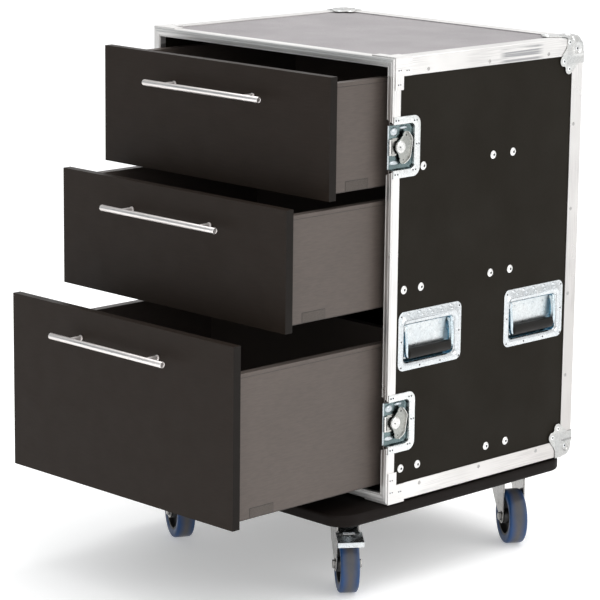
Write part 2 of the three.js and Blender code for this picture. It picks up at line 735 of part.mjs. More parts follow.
function castorFork() {
  const side = forkSide();
  const yoke = box(
    [-FORK_LEADING_REACH, -FORK_OUTSIDE, CROWN_UNDER_Z],
    [FORK_TRAILING_REACH, FORK_OUTSIDE, CROWN_UNDER_Z + FORK_WALL],
  );
  const heads = [-1, 1].map((way) => {
    const near = way * (FORK_OUTSIDE - SEAT);
    const far = way * (FORK_OUTSIDE + AXLE_HEAD_THICKNESS);
    return rod('y', AXLE_HEAD_RADIUS, Math.min(near, far), Math.max(near, far), HEX_SIDES)
      .translate([CASTOR_TRAIL, 0, AXLE_Z]);
  });
  const axle = rod('y', AXLE_RADIUS, -FORK_OUTSIDE, FORK_OUTSIDE, PIN_SIDES).translate([CASTOR_TRAIL, 0, AXLE_Z]);
  return cut(
    join(
      rod('z', CROWN_RADIUS, CROWN_UNDER_Z, CROWN_TOP_Z, DISC_SIDES),
      yoke,
      prism(side, 'y', FORK_INSIDE, FORK_OUTSIDE),
      prism(side, 'y', -FORK_OUTSIDE, -FORK_INSIDE),
      axle,
      ...heads,
    ),
    rod('z', KINGPIN_RADIUS + SWIVEL_PLAY, CROWN_UNDER_Z - OVERRUN, OVERRUN),
  );
}

// Wheel about its axle: a lathed tyre on a hub with a thinner web between them
function wheel() {
  const flat = Math.cos(Math.PI / WHEEL_SIDES);
  const radius = WHEEL_RADIUS / flat;
  const bore = (AXLE_RADIUS + SEAT) / flat;
  const tyre = TYRE_WIDTH / 2;
  const hub = FORK_INSIDE - HUB_SIDE_PLAY;
  const web = WHEEL_WEB_THICKNESS / 2;
  const half = [
    [bore, hub],
    [HUB_RADIUS, hub],
    [HUB_RADIUS, web],
    [TYRE_INNER_RADIUS, web],
    [TYRE_INNER_RADIUS + TYRE_BEAD, tyre],
    [radius - TYRE_SHOULDER, tyre],
    [radius, tyre - TYRE_CROWN_INSET],
  ];
  const profile = [
    ...half.map(([r, w]) => new THREE.Vector2(r, -w)),
    ...half.toReversed().map(([r, w]) => new THREE.Vector2(r, w)),
  ];
  profile.push(profile[0]);
  const geometry = new THREE.LatheGeometry(profile, WHEEL_SIDES);
  return toSolid(geometry.rotateY(Math.PI / WHEEL_SIDES));
}

// Brake pedal about its pivot, reaching out over the wheel
function brakePedal() {
  const slope = PEDAL_FALL / PEDAL_LENGTH;
  const outline = polygon([
    [0, 0],
    [PEDAL_LENGTH, -PEDAL_FALL],
    [PEDAL_LENGTH, -PEDAL_FALL - PEDAL_LIP],
    [PEDAL_LENGTH + PEDAL_SHEET, -PEDAL_FALL - PEDAL_LIP],
    [PEDAL_LENGTH + PEDAL_SHEET, -PEDAL_FALL + PEDAL_SHEET / 2],
    [PEDAL_LENGTH, -PEDAL_FALL + PEDAL_SHEET],
    [0, PEDAL_SHEET],
  ]);
  const inside = FORK_INSIDE - SEAT;
  const wide = PEDAL_LENGTH - PEDAL_WIDE_LENGTH;
  const slotZ = -slope * PEDAL_SLOT_OFFSET;
  const trimmed = (sign) => box(
    [-OVERRUN, Math.min(sign * inside, sign * PEDAL_WIDTH), -PEDAL_WIDTH],
    [wide, Math.max(sign * inside, sign * PEDAL_WIDTH), PEDAL_WIDTH],
  );
  return cut(
    join(
      prism(outline, 'y', -PEDAL_WIDTH / 2, PEDAL_WIDTH / 2),
      rod('y', PEDAL_BARREL_RADIUS, -inside, inside, PIN_SIDES),
    ),
    trimmed(-1),
    trimmed(1),
    box(
      [PEDAL_SLOT_OFFSET, -PEDAL_SLOT_WIDTH / 2, slotZ - PEDAL_FALL],
      [PEDAL_SLOT_OFFSET + PEDAL_SLOT_LENGTH, PEDAL_SLOT_WIDTH / 2, slotZ + PEDAL_FALL],
    ),
  );
}

// Spring handle about the middle of its flange, x = 0 on the outside of the edging
const FLANGE_BACK_X = -PANEL_INSET + SEAT;
const HANDLE_FLOOR_X = -PANEL_INSET - HANDLE_DEPTH;
const HANDLE_OPENING_TOP = HANDLE_HEIGHT / 2 - HANDLE_TOP_BORDER;
const HANDLE_OPENING_BOTTOM = -HANDLE_HEIGHT / 2 + HANDLE_BOTTOM_BORDER;
const HANDLE_OPENING_HALF = HANDLE_LENGTH / 2 - HANDLE_END_BORDER;
const BAIL_PIVOT_Z = HANDLE_OPENING_TOP - BAIL_PIVOT_DROP;
const BAIL_PIVOT_X = -PANEL_INSET - BAIL_PIVOT_DEPTH;
const GRIP_DROP = BAIL_PIVOT_Z - HANDLE_OPENING_BOTTOM - GRIP_BOTTOM_GAP - GRIP_HEIGHT / 2;

// Space taken by the tub of the dish, grown by a margin on its sides and by its own depth behind
function handleTub(margin, behind) {
  const outline = roundedRectangle(
    -HANDLE_OPENING_HALF - margin,
    HANDLE_OPENING_BOTTOM - margin,
    HANDLE_OPENING_HALF + margin,
    HANDLE_OPENING_TOP + margin,
    HANDLE_DISH_CORNER + margin,
  );
  return prism(outline, 'x', HANDLE_FLOOR_X - behind, OVERRUN);
}

function handleDish() {
  const flange = prism(roundedRectangle(
    -HANDLE_LENGTH / 2,
    -HANDLE_HEIGHT / 2,
    HANDLE_LENGTH / 2,
    HANDLE_HEIGHT / 2,
    HANDLE_CORNER,
  ), 'x', FLANGE_BACK_X, FLANGE_BACK_X + HANDLE_SHEET);
  const front = FLANGE_BACK_X + HANDLE_SHEET;
  const above = box(
    [front, -HANDLE_LENGTH, -HANDLE_HEIGHT],
    [front + 2 * OVERRUN, HANDLE_LENGTH, HANDLE_HEIGHT],
  );
  const tub = cut(handleTub(HANDLE_SHEET, HANDLE_SHEET), above);
  const ribs = [-1, 0, 1].map((place) => {
    const y = place * HANDLE_STIFFENER_PITCH;
    const z = HANDLE_OPENING_TOP + (HANDLE_TOP_BORDER - HANDLE_STIFFENER_HEIGHT) / 2;
    return box(
      [front - SEAT, y - HANDLE_STIFFENER_LENGTH / 2, z],
      [front + HANDLE_STIFFENER_RISE, y + HANDLE_STIFFENER_LENGTH / 2, z + HANDLE_STIFFENER_HEIGHT],
    );
  });
  return join(cut(join(flange, tub), handleTub(0, 0)), ...ribs);
}

// Bail about its pivot: two arms with pivot pins and a moulded grip between them
function handleBail() {
  const armOuter = HANDLE_OPENING_HALF - BAIL_ARM_INSET;
  const armInner = armOuter - BAIL_ARM_WIDTH;
  const pinEnd = HANDLE_OPENING_HALF - BAIL_END_PLAY;
  const gripBack = HANDLE_FLOOR_X + GRIP_BACK_GAP;
  const gripX = gripBack + GRIP_THICKNESS / 2 - BAIL_PIVOT_X;
  const ellipse = new THREE.Shape();
  ellipse.absellipse(gripX, -GRIP_DROP, GRIP_THICKNESS / 2, GRIP_HEIGHT / 2, 0, Math.PI * 2);
  const grip = new THREE.ExtrudeGeometry(ellipse, {
    depth: 2 * armInner + 2 * SEAT,
    bevelEnabled: false,
    curveSegments: PIN_SIDES / 2,
  });
  grip.rotateX(Math.PI / 2).translate(0, armInner + SEAT, 0);
  const arms = [-1, 1].map((way) => {
    const outline = polygon([
      [-BAIL_BAR / 2, 0],
      [gripX - BAIL_BAR / 2, -GRIP_DROP],
      [gripX + BAIL_BAR / 2, -GRIP_DROP],
      [BAIL_BAR / 2, 0],
    ]);
    const from = Math.min(way * armInner, way * armOuter);
    const knee = rod('y', BAIL_BAR / 2, from, from + BAIL_ARM_WIDTH, PIN_SIDES);
    return join(
      prism(outline, 'y', from, from + BAIL_ARM_WIDTH),
      knee,
      knee.translate([gripX, 0, -GRIP_DROP]),
    );
  });
  const pins = [[-pinEnd, -armInner], [armInner, pinEnd]]
    .map(([from, to]) => rod('y', BAIL_PIN_RADIUS, from, to, PIN_SIDES));
  return join(toSolid(grip), ...arms, ...pins);
}

// Butterfly latch about its turning axis, x = 0 on the outside of the edging
const LATCH_FLOOR_X = PANEL_INNER_X + SEAT + LATCH_SHEET - HALF_WIDTH;
const HOOK_X = LATCH_FLOOR_X + SEAT;
const WING_X = HOOK_X + HOOK_SHEET + SEAT;

// Space of the recess, open at the front of the case, grown on its sides and behind its floor
function latchRecess(margin, behind) {
  const half = LATCH_OPENING_HEIGHT / 2 + margin;
  const rear = LATCH_OPENING_DEPTH - LATCH_AXIS_Y + margin;
  const corner = LATCH_DISH_CORNER + margin;
  const outline = roundedRectangle(-LATCH_AXIS_Y - OVERRUN, -half, rear, half, [0, corner, corner, 0]);
  return prism(outline, 'x', LATCH_FLOOR_X - behind, OVERRUN);
}

// Dish of the latch: its flange steps over the closing frame beside the open front of the recess
function latchDish() {
  const half = LATCH_FLANGE_HEIGHT / 2;
  const lip = LATCH_OPENING_HEIGHT / 2 + LATCH_SHEET;
  const rear = LATCH_FLANGE_DEPTH - LATCH_AXIS_Y;
  const front = LATCH_FRONT_SETBACK - LATCH_AXIS_Y;
  const frameRear = RING_DEPTH + SEAT - LATCH_AXIS_Y;
  const corner = LATCH_FLANGE_CORNER;
  const outer = SEAT + LATCH_SHEET;
  const outline = roundedRectangle(front, -half, rear, half, [0, corner, corner, 0]);
  const flange = prism(outline, 'x', FLANGE_BACK_X, outer);
  const overFrame = [[-half, -lip], [lip, half]].map(([from, to]) => box(
    [FLANGE_BACK_X - OVERRUN, front - OVERRUN, from],
    [SEAT, frameRear, to],
  ));
  const bounds = box([LATCH_FLOOR_X - OVERRUN, front, -half], [outer, rear, half]);
  const tub = common(latchRecess(LATCH_SHEET, LATCH_SHEET), bounds);
  return cut(join(cut(flange, ...overFrame), tub), latchRecess(0, 0));
}

// Hook plate with its front bar, window and the slot for the cam
function latchHook() {
  const front = HOOK_FRONT_Y - LATCH_AXIS_Y;
  const half = HOOK_WIDTH / 2;
  const shape = roundedRectangle(front, -half, HOOK_TAIL, half, [0, half / 2, half / 2, 0]);
  const window = new THREE.Path();
  const w0 = front + HOOK_BAR;
  const w1 = w0 + HOOK_WINDOW_LENGTH;
  const w = HOOK_WINDOW_WIDTH / 2;
  window.moveTo(w0, -w);
  window.lineTo(w0, w);
  window.lineTo(w1, w);
  window.lineTo(w1, -w);
  const slot = new THREE.Path();
  const r = HOOK_CAM_RADIUS + SEAT;
  slot.absarc(0, 0, r, -Math.PI / 2, -Math.PI * 3 / 2, true);
  slot.absarc(HOOK_TRAVEL, 0, r, Math.PI / 2, -Math.PI / 2, true);
  shape.holes.push(window, slot);
  return prism(shape, 'x', HOOK_X, HOOK_X + HOOK_SHEET);
}

// Wing: a crescent of sheet with two lobes, a turned rim, and the boss that holds its cam
function latchWing() {
  const lobe = WING_LOBE_RADIUS;
  const [ly, lz] = [WING_LOBE_Y, WING_LOBE_Z];
  const neck = Math.sqrt(WING_BOSS_RADIUS ** 2 - WING_NECK_Y ** 2);
  const shape = new THREE.Shape();
  shape.moveTo(ly - lobe, -lz);
  shape.absarc(ly, -lz, lobe, Math.PI, Math.PI * 2);
  shape.quadraticCurveTo(WING_BELLY, 0, ly + lobe, lz);
  shape.absarc(ly, lz, lobe, 0, Math.PI);
  shape.quadraticCurveTo(WING_WAIST_Y, WING_WAIST_Z, -WING_NECK_Y, neck);
  const turn = Math.atan2(neck, -WING_NECK_Y);
  shape.absarc(0, 0, WING_BOSS_RADIUS, turn, Math.PI * 2 - turn);
  shape.quadraticCurveTo(WING_WAIST_Y, -WING_WAIST_Z, ly - lobe, -lz);
  const hole = new THREE.Path();
  hole.absarc(ly + WING_HOLE_OFFSET, lz, WING_HOLE_RADIUS, 0, Math.PI * 2);
  shape.holes.push(hole);
  const rim = new THREE.Shape();
  rim.moveTo(ly + lobe - WING_LIP_WALL, -lz);
  rim.lineTo(ly + lobe, -lz);
  rim.quadraticCurveTo(WING_BELLY, 0, ly + lobe, lz);
  rim.lineTo(ly + lobe - WING_LIP_WALL, lz);
  rim.quadraticCurveTo(WING_BELLY - WING_LIP_WALL, 0, ly + lobe - WING_LIP_WALL, -lz);
  const top = WING_X + WING_SHEET;
  return join(
    prism(shape, 'x', WING_X, top),
    prism(rim, 'x', WING_X, top + WING_LIP_RISE),
    rod('x', WING_BOSS_RADIUS, WING_X, top + WING_BOSS_RISE, ROD_SIDES),
    rod('x', WING_CAP_RADIUS, WING_X, top + WING_BOSS_RISE + WING_CAP_RISE, PIN_SIDES),
    rod('x', HOOK_CAM_RADIUS, LATCH_FLOOR_X + SEAT, WING_X + SEAT, PIN_SIDES),
  );
}

// Drawers in their closed place; the group of each is then drawn forward
const DRAWER_REAR_OF_FRONT = DRAWER_FRONT_RECESS + DRAWER_FRONT_THICKNESS + SEAT;
const DRAWER_BACK_Y = DRAWER_REAR_OF_FRONT + DRAWER_DEPTH - DRAWER_SHEET - DRAWER_BACK_THICKNESS;

function drawerFront({ front: [z0, z1] }) {
  const half = DRAWER_FRONT_WIDTH / 2;
  const y0 = DRAWER_FRONT_RECESS;
  return box([-half, y0, z0], [half, y0 + DRAWER_FRONT_THICKNESS, z1]);
}

// One drawer side: a hollow double wall with the web that rides on the carriage
function drawerSide({ side: [z0, z1] }) {
  const outer = DRAWER_WIDTH / 2;
  const inner = outer - DRAWER_SIDE_THICKNESS;
  const y0 = DRAWER_REAR_OF_FRONT;
  const y1 = y0 + DRAWER_DEPTH;
  const web = z0 + RAIL_UPRIGHT_HEIGHT + CARRIAGE_SHEET + 2 * SEAT;
  const ledge = z0 + DRAWER_BASE_RISE - SEAT;
  const hatch = y0 + HATCH_SETBACK;
  return cut(
    join(
      box([inner, y0, z0], [outer, y1, z1]),
      box([inner - DRAWER_BASE_LEDGE, y0, ledge - DRAWER_SHEET], [inner + SEAT, y1, ledge]),
    ),
    box(
      [inner + DRAWER_SHEET, y0 - OVERRUN, z0 - OVERRUN],
      [outer - DRAWER_SHEET, y1 + OVERRUN, web],
    ),
    box(
      [inner + DRAWER_SHEET, y0 - OVERRUN, web + DRAWER_SHEET],
      [outer - DRAWER_SHEET, y1 + OVERRUN, z1 - DRAWER_SHEET],
    ),
    box(
      [outer - HATCH_DEPTH, hatch, z0 - OVERRUN],
      [outer + OVERRUN, hatch + HATCH_LENGTH, z0 + HATCH_HEIGHT],
    ),
  );
}

function drawerFrame(drawer) {
  const side = drawerSide(drawer);
  const [z0, z1] = drawer.side;
  const half = DRAWER_WIDTH / 2 - DRAWER_SIDE_THICKNESS + SEAT;
  const back = box(
    [-half, DRAWER_BACK_Y, z0 + DRAWER_BASE_RISE - SEAT - DRAWER_SHEET / 2],
    [half, DRAWER_BACK_Y + DRAWER_BACK_THICKNESS, z1 - DRAWER_SHEET],
  );
  return join(side, side.scale([-1, 1, 1]), back);
}

function drawerBase({ side: [z0] }) {
  const half = DRAWER_WIDTH / 2 - DRAWER_SIDE_THICKNESS - SEAT;
  const under = z0 + DRAWER_BASE_RISE;
  return box(
    [-half, DRAWER_REAR_OF_FRONT, under],
    [half, DRAWER_BACK_Y - SEAT, under + DRAWER_BASE_THICKNESS],
  );
}

function drawerPull({ front: [, z1] }) {
  const y = DRAWER_FRONT_RECESS - PULL_PROJECTION;
  const posts = [-1, 1].map((way) => rod('y', PULL_POST_RADIUS, y, DRAWER_FRONT_RECESS - SEAT, PIN_SIDES)
    .translate([way * PULL_POST_SPACING / 2, 0, 0]));
  const bar = rod('x', PULL_RADIUS, -PULL_LENGTH / 2, PULL_LENGTH / 2).translate([0, y, 0]);
  return join(bar, ...posts).translate([0, 0, z1 - PULL_DROP]);
}

// Carriage between the fixed rail and the drawer: a channel over the upright
function runnerCarriage({ side: [z0] }) {
  const x = runnerUprightX();
  const inside = RAIL_SHEET / 2 + CARRIAGE_SIDE_PLAY;
  const outside = inside + CARRIAGE_SHEET;
  const y0 = DRAWER_REAR_OF_FRONT + (RAIL_LENGTH - CARRIAGE_LENGTH) / 2;
  const under = z0 + RAIL_UPRIGHT_HEIGHT + SEAT;
  const foot = under - CARRIAGE_HEIGHT;
  return cut(
    box([x - outside, y0, foot], [x + outside, y0 + CARRIAGE_LENGTH, under + CARRIAGE_SHEET]),
    box([x - inside, y0 - OVERRUN, foot - OVERRUN], [x + inside, y0 + CARRIAGE_LENGTH + OVERRUN, under]),
  );
}

// Assembly in the case's own frame: x from the middle, y from the front, z from the bottom edge
const roadCase = new THREE.Group();
const X_AXIS = 0;

function place(mesh, x, y, z) {
  mesh.position.set(x, y, z);
  return mesh;
}

roadCase.add(
  part('edge_frame', edgeFrame(), aluminium),
  part('front_frame', frontFrame(), aluminium),
  part('top_panel', topPanel(), topPly),
  part('bottom_panel', bottomPanel(), sidePly),
  part('back_panel', backPanel(), sidePly),
  part('right_panel', sidePanel(), sidePly),
  part('left_panel', sidePanel(), sidePly, 0),
  part('castor_board', castorBoard(), boardPly),
);

// Ball corners; the lower and left ones are reflections of the upper right one
const ball = ballCorner();
for (const side of ['right', 'left']) {
  for (const level of ['top', 'bottom']) {
    const shape = level === 'top' ? ball : ball.scale([1, 1, -1]);
    const x = side === 'right' ? HALF_WIDTH : -HALF_WIDTH;
    const z = level === 'top' ? CASE_HEIGHT : 0;
    const axis = side === 'left' ? X_AXIS : undefined;
    const mesh = part(`ball_corner_${level}_${side}`, shape, zincSteel, axis);
    roadCase.add(place(mesh, x, CASE_DEPTH, z));
  }
}

// Castors, each turned about its kingpin as in the resting pose
for (const castor of castorPlaces()) {
  const group = new THREE.Group();
  group.position.set(castor.x, castor.y, BOARD_UNDER_Z);
  group.rotation.z = castor.turn;
  group.add(part(`castor_fork_${castor.name}`, castorFork(), zincSteel));
  group.add(place(part(`wheel_${castor.name}`, wheel(), tyreBlue), CASTOR_TRAIL, 0, AXLE_Z));
  if (castor.braked) {
    const pedal = part(`brake_pedal_${castor.name}`, brakePedal(), zincSteel);
    group.add(place(pedal, PEDAL_PIVOT_TRAIL, 0, -PEDAL_PIVOT_DROP));
  }
  roadCase.add(group);
}

// Handles and latches on both sides; the left ones are reflections
for (const side of ['right', 'left']) {
  const axis = side === 'left' ? X_AXIS : undefined;
  const outward = side === 'left' ? -1 : 1;
  for (const [end, y] of Object.entries(HANDLE_PLACES)) {
    const dish = part(`handle_dish_${side}_${end}`, handleDish(), zincSteel, axis);
    const bail = part(`handle_bail_${side}_${end}`, handleBail(), blackRubber, axis);
    roadCase.add(
      place(dish, outward * HALF_WIDTH, y, HANDLE_CENTRE_Z),
      place(bail, outward * (HALF_WIDTH + BAIL_PIVOT_X), y, HANDLE_CENTRE_Z + BAIL_PIVOT_Z),
    );
  }
  for (const [level, z] of Object.entries(LATCH_HEIGHTS)) {
    const pieces = [
      part(`latch_dish_${side}_${level}`, latchDish(), zincSteel, axis),
      part(`latch_hook_${side}_${level}`, latchHook(), zincSteel, axis),
      part(`latch_wing_${side}_${level}`, latchWing(), zincSteel, axis),
    ];
    pieces.forEach((piece) => roadCase.add(place(piece, outward * HALF_WIDTH, LATCH_AXIS_Y, z)));
  }
}

// Drawers drawn forward by their resting amounts, each carriage by half of it
for (const [level, drawer] of Object.entries(DRAWERS)) {
  const drawerGroup = new THREE.Group();
  drawerGroup.position.y = -drawer.open;
  drawerGroup.add(
    part(`drawer_front_${level}`, drawerFront(drawer), frontLaminate),
    part(`drawer_pull_${level}`, drawerPull(drawer), pullSteel),
    part(`drawer_frame_${level}`, drawerFrame(drawer), drawerSteel),
    part(`drawer_base_${level}`, drawerBase(drawer), darkBoard),
  );
  const carriages = new THREE.Group();
  carriages.position.y = -drawer.open / 2;
  carriages.add(
    part(`runner_carriage_${level}_right`, runnerCarriage(drawer), zincSteel),
    part(`runner_carriage_${level}_left`, runnerCarriage(drawer), zincSteel, X_AXIS),
  );
  roadCase.add(drawerGroup, carriages);
}

// Origin on the floor under the middle of the whole object
roadCase.position.set(0, -CENTRE_Y, -FLOOR_Z);

const group = new THREE.Group();
group.add(roadCase);

export default group;
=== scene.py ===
# Road case with three drawers on a castor board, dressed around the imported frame.
# Shapes are built in millimetres, +Z up; the open front faces -Y, the right side faces +X.
import json
import math

import bmesh
import bpy
from mathutils import Euler, Matrix, Vector


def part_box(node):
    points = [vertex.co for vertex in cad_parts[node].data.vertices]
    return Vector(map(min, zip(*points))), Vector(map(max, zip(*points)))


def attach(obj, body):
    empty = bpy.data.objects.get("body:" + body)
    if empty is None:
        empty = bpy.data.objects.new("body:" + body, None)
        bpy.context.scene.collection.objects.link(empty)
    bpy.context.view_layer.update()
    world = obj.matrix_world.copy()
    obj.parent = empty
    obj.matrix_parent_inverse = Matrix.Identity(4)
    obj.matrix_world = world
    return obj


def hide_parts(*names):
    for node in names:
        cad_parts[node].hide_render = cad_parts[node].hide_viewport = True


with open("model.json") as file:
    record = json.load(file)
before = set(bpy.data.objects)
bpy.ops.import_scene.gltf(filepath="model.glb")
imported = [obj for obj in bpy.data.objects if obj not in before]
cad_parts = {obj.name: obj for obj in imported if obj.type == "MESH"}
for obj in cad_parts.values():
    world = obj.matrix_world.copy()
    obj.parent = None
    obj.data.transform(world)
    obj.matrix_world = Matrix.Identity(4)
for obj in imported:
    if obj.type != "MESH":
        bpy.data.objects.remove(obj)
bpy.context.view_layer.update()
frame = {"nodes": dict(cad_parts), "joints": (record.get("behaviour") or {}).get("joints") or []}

MM = 0.001
SIDES = {"right": 1, "left": -1}


def span(node):
    """Lowest and highest corner of a node as vectors."""
    low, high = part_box(node)
    return Vector(low) / MM, Vector(high) / MM


# Main places, read from the frame, and the sizes of the case
EDGE_LOW, EDGE_HIGH = span("edge_frame")
CASE_HALF = EDGE_HIGH.x
CASE_REAR = EDGE_HIGH.y
CASE_BOTTOM = EDGE_LOW.z
CASE_TOP = EDGE_HIGH.z
CASE_WIDTH, CASE_DEPTH, CASE_HEIGHT = 600, 490, 770
CASE_FRONT = CASE_REAR - CASE_DEPTH
EDGE_LEG = 31


def case_point(x, y, z):
    """A point given from the case's middle, front plane and bottom edge."""
    return Vector((x, CASE_FRONT + y, CASE_BOTTOM + z))


# Camera, solved from the photograph: place in the case's own frame, angles in radians
CAMERA_PLACE = (3426.3, -3317.4, 1343.9)
CAMERA_YAW = 0.7894
CAMERA_PITCH = 0.2131
CAMERA_ROLL = 0.0115


def make_camera():
    data = bpy.data.cameras.new("camera")
    data.lens = 165.3
    data.sensor_width = 36
    data.sensor_fit = "HORIZONTAL"
    data.clip_end = 100
    camera = bpy.data.objects.new("camera", data)
    turn = Euler((math.pi / 2 - CAMERA_PITCH, 0, CAMERA_YAW)).to_matrix().to_4x4()
    roll = Matrix.Rotation(CAMERA_ROLL, 4, "Z")
    camera.matrix_world = Matrix.Translation(case_point(*CAMERA_PLACE) * MM) @ turn @ roll
    bpy.context.scene.collection.objects.link(camera)
    bpy.context.scene.camera = camera


# Materials
MATERIALS = {}


def shade(color, factor):
    return tuple(min(1.0, part * factor) for part in color)


class Shader:
    """A principled material with a small set of procedural helpers."""

    def __init__(self, name, color, roughness, metallic=0.0, gloss=0.5):
        self.material = MATERIALS[name] = bpy.data.materials.new(name)
        self.material.use_nodes = True
        self.tree = self.material.node_tree
        self.shader = self.tree.nodes["Principled BSDF"]
        self.set("Base Color", color)
        self.set("Roughness", roughness)
        self.set("Metallic", metallic)
        self.set("Specular IOR Level", gloss)
        self.places = self.tree.nodes.new("ShaderNodeTexCoord").outputs
        self.coords = self.places["Object"]

    def set(self, socket, value):
        self.feed(self.shader.inputs[socket], value)

    def feed(self, socket, value):
        """Links a source to a socket, or sets a plain value on it."""
        if isinstance(value, bpy.types.NodeSocket):
            self.tree.links.new(value, socket)
        elif socket.type == "RGBA":
            socket.default_value = (*value, 1)
        else:
            socket.default_value = value

    def node(self, kind, output, inputs, **settings):
        """One output of a new node, its inputs given by name or place."""
        node = self.tree.nodes.new(kind)
        for label, value in settings.items():
            setattr(node, label, value)
        for label, value in inputs.items():
            self.feed(node.inputs[label], value)
        return node.outputs[output]

    def math(self, operation, *values):
        return self.node("ShaderNodeMath", 0, dict(enumerate(values)), operation=operation)

    def part(self, source, axis):
        return self.node("ShaderNodeSeparateXYZ", axis, {"Vector": source})

    def noise(self, scale, detail=3.0, stretch=(1, 1, 1)):
        place = self.node("ShaderNodeMapping", "Vector", {"Scale": stretch, "Vector": self.coords})
        return self.node("ShaderNodeTexNoise", "Fac", {"Scale": scale, "Detail": detail, "Vector": place})

    def ramp(self, source, *stops):
        """A colour ramp; a stop is a place with a colour or a grey."""
        node = self.tree.nodes.new("ShaderNodeValToRGB")
        elements = node.color_ramp.elements
        while len(elements) < len(stops):
            elements.new(0.5)
        for element, (place, color) in zip(elements, stops):
            element.position = place
            element.color = (*color, 1) if isinstance(color, tuple) else (color, color, color, 1)
        self.feed(node.inputs["Fac"], source)
        return node.outputs["Color"]

    def tint(self, source, base, low, high):
        """The base colour between two shades of it."""
        return self.ramp(source, (0.3, shade(base, low)), (0.7, shade(base, high)))

    def spread(self, source, low, high, start=0.3, end=0.7):
        return self.node("ShaderNodeMapRange", "Result", {
            "Value": source, "From Min": start, "From Max": end, "To Min": low, "To Max": high})

    def mix(self, factor, first, second, mode="MIX"):
        return self.node("ShaderNodeMix", "Result", {"Factor": factor, "A": first, "B": second},
                         data_type="RGBA", blend_type=mode)

    def product(self, first, second):
        return self.mix(1.0, first, second, "MULTIPLY")

    def finish(self, color, rough=None, bump=None, distance=0.1, strength=0.4):
        """Links the colour, the roughness and a bump whose depth is in millimetres."""
        self.set("Base Color", color)
        if rough is not None:
            self.set("Roughness", rough)
        if bump is not None:
            self.set("Normal", self.node("ShaderNodeBump", "Normal", {
                "Distance": distance * MM, "Strength": strength, "Height": bump}))


# Middle of a rubbed stretch on the upper edging, and half of its length and height
RUBBED = case_point(0, 322, 753)
RUBBED_HALF = (60, 14)


def edging_material(name, metal=1.0, upright_metal=1.0):
    """Extruded aluminium whose die lines follow each leg of the edging, with rubbed and dull stretches, and
    painted shade darkening it towards the rear foot of the case.
    """
    base = (0.80, 0.785, 0.77)
    m = Shader(name, base, 0.34, metal)

    def inside(axis, centre, reach, fade=0.1):
        """One within a reach of a centre along an axis, fading to nought at its ends."""
        away = m.math("ABSOLUTE", m.math("SUBTRACT", m.part(m.coords, axis), centre * MM))
        return m.spread(away, 1.0, 0.0, (reach - fade) * MM, reach * MM)

    upright = inside("Z", (CASE_BOTTOM + CASE_TOP) / 2, (CASE_TOP - CASE_BOTTOM) / 2 - EDGE_LEG)
    if metal < upright_metal:
        m.set("Metallic", m.spread(upright, metal, upright_metal, 0.0, 1.0))
    stretches = ((1.2, 60, 60), (60, 1.2, 60), (60, 60, 1.2))
    lines = [m.ramp(m.noise(10, 3, stretch), (0.32, (0.74, 0.74, 0.745)), (0.6, 1)) for stretch in stretches]
    die_lines = m.mix(upright, m.mix(inside("X", 0, CASE_HALF - EDGE_LEG), lines[1], lines[0]), lines[2])
    drawn = m.mix(m.ramp(m.noise(7, 2), (0.42, 0), (0.62, 0.85)), (0.97, 0.97, 0.97), die_lines)
    streaks = m.ramp(m.noise(13, 1, (30, 0.4, 30)), (0.46, (0.46, 0.47, 0.49)), (0.60, 1))
    length, height = RUBBED_HALF
    rubbed = m.math("MULTIPLY", inside("Y", RUBBED.y, length, 18), inside("Z", RUBBED.z, height, 3))
    drawn = m.mix(rubbed, drawn, streaks)
    # Painted shade: the edging is darkened towards the rear foot of the case.
    foot = (0, CASE_REAR * MM, CASE_BOTTOM * MM)
    from_foot = m.node("ShaderNodeVectorMath", "Vector", {0: m.coords, 1: foot}, operation="SUBTRACT")
    flat = m.node("ShaderNodeVectorMath", "Vector", {0: from_foot, 1: (0, 1, 0.55)}, operation="MULTIPLY")
    away = m.node("ShaderNodeVectorMath", "Value", {0: flat}, operation="LENGTH")
    rear_foot_shade = m.ramp(m.spread(away, 0.0, 1.0, 0.02, 0.42), (0.0, (0.70, 0.685, 0.68)), (1.0, 1))
    tone = m.tint(m.noise(4, 3), base, 0.9, 1.04)
    tone = m.product(m.product(tone, drawn), rear_foot_shade)
    m.finish(tone, m.spread(m.noise(18, 4), 0.26, 0.44), m.noise(500, 2), 0.03)


def zinc_material(name, base, low=0.16, high=0.34, foot=1.0):
    """Zinc-plated pressed steel: small crystals and rubbed patches, darker towards the foot of the case."""
    m = Shader(name, base, 0.25, 1.0)
    place = m.node("ShaderNodeMapping", "Vector", {"Vector": m.coords})
    crystals = m.node("ShaderNodeTexVoronoi", "Color", {"Scale": 420, "Vector": place})
    grey = m.node("ShaderNodeRGBToBW", "Val", {"Color": crystals})
    patches = m.ramp(m.noise(30, 4), (0.35, (0.94, 0.96, 0.975)), (0.65, 1))
    tone = m.product(m.ramp(grey, (0.1, shade(base, 0.88)), (0.9, shade(base, 1.10))), patches)
    if foot < 1:
        rise = m.spread(m.part(m.coords, "Z"), 0.0, 1.0, CASE_BOTTOM * MM, CASE_TOP * MM)
        tone = m.product(tone, m.ramp(rise, (0.1, foot), (0.9, 1)))
    m.finish(tone, m.spread(m.noise(90, 3), low, high), m.noise(300, 2), 0.04)


def ply_material(name, base, light, roughness, grain_scale=900, gloss=0.3):
    """Phenolic film on plywood: a fine pressed grain and faint cloudy tone."""
    m = Shader(name, base, roughness, gloss=gloss)
    grain = m.noise(grain_scale, 2)
    tone = m.ramp(m.noise(6, 5), (0.35, base), (0.7, light))
    specks = m.ramp(grain, (0.35, 0.82), (0.6, (1.1, 1.08, 1.06)))
    rough = m.spread(m.noise(14, 4), roughness - 0.06, roughness + 0.08)
    m.finish(m.product(tone, specks), rough, grain, 0.12, 0.6)


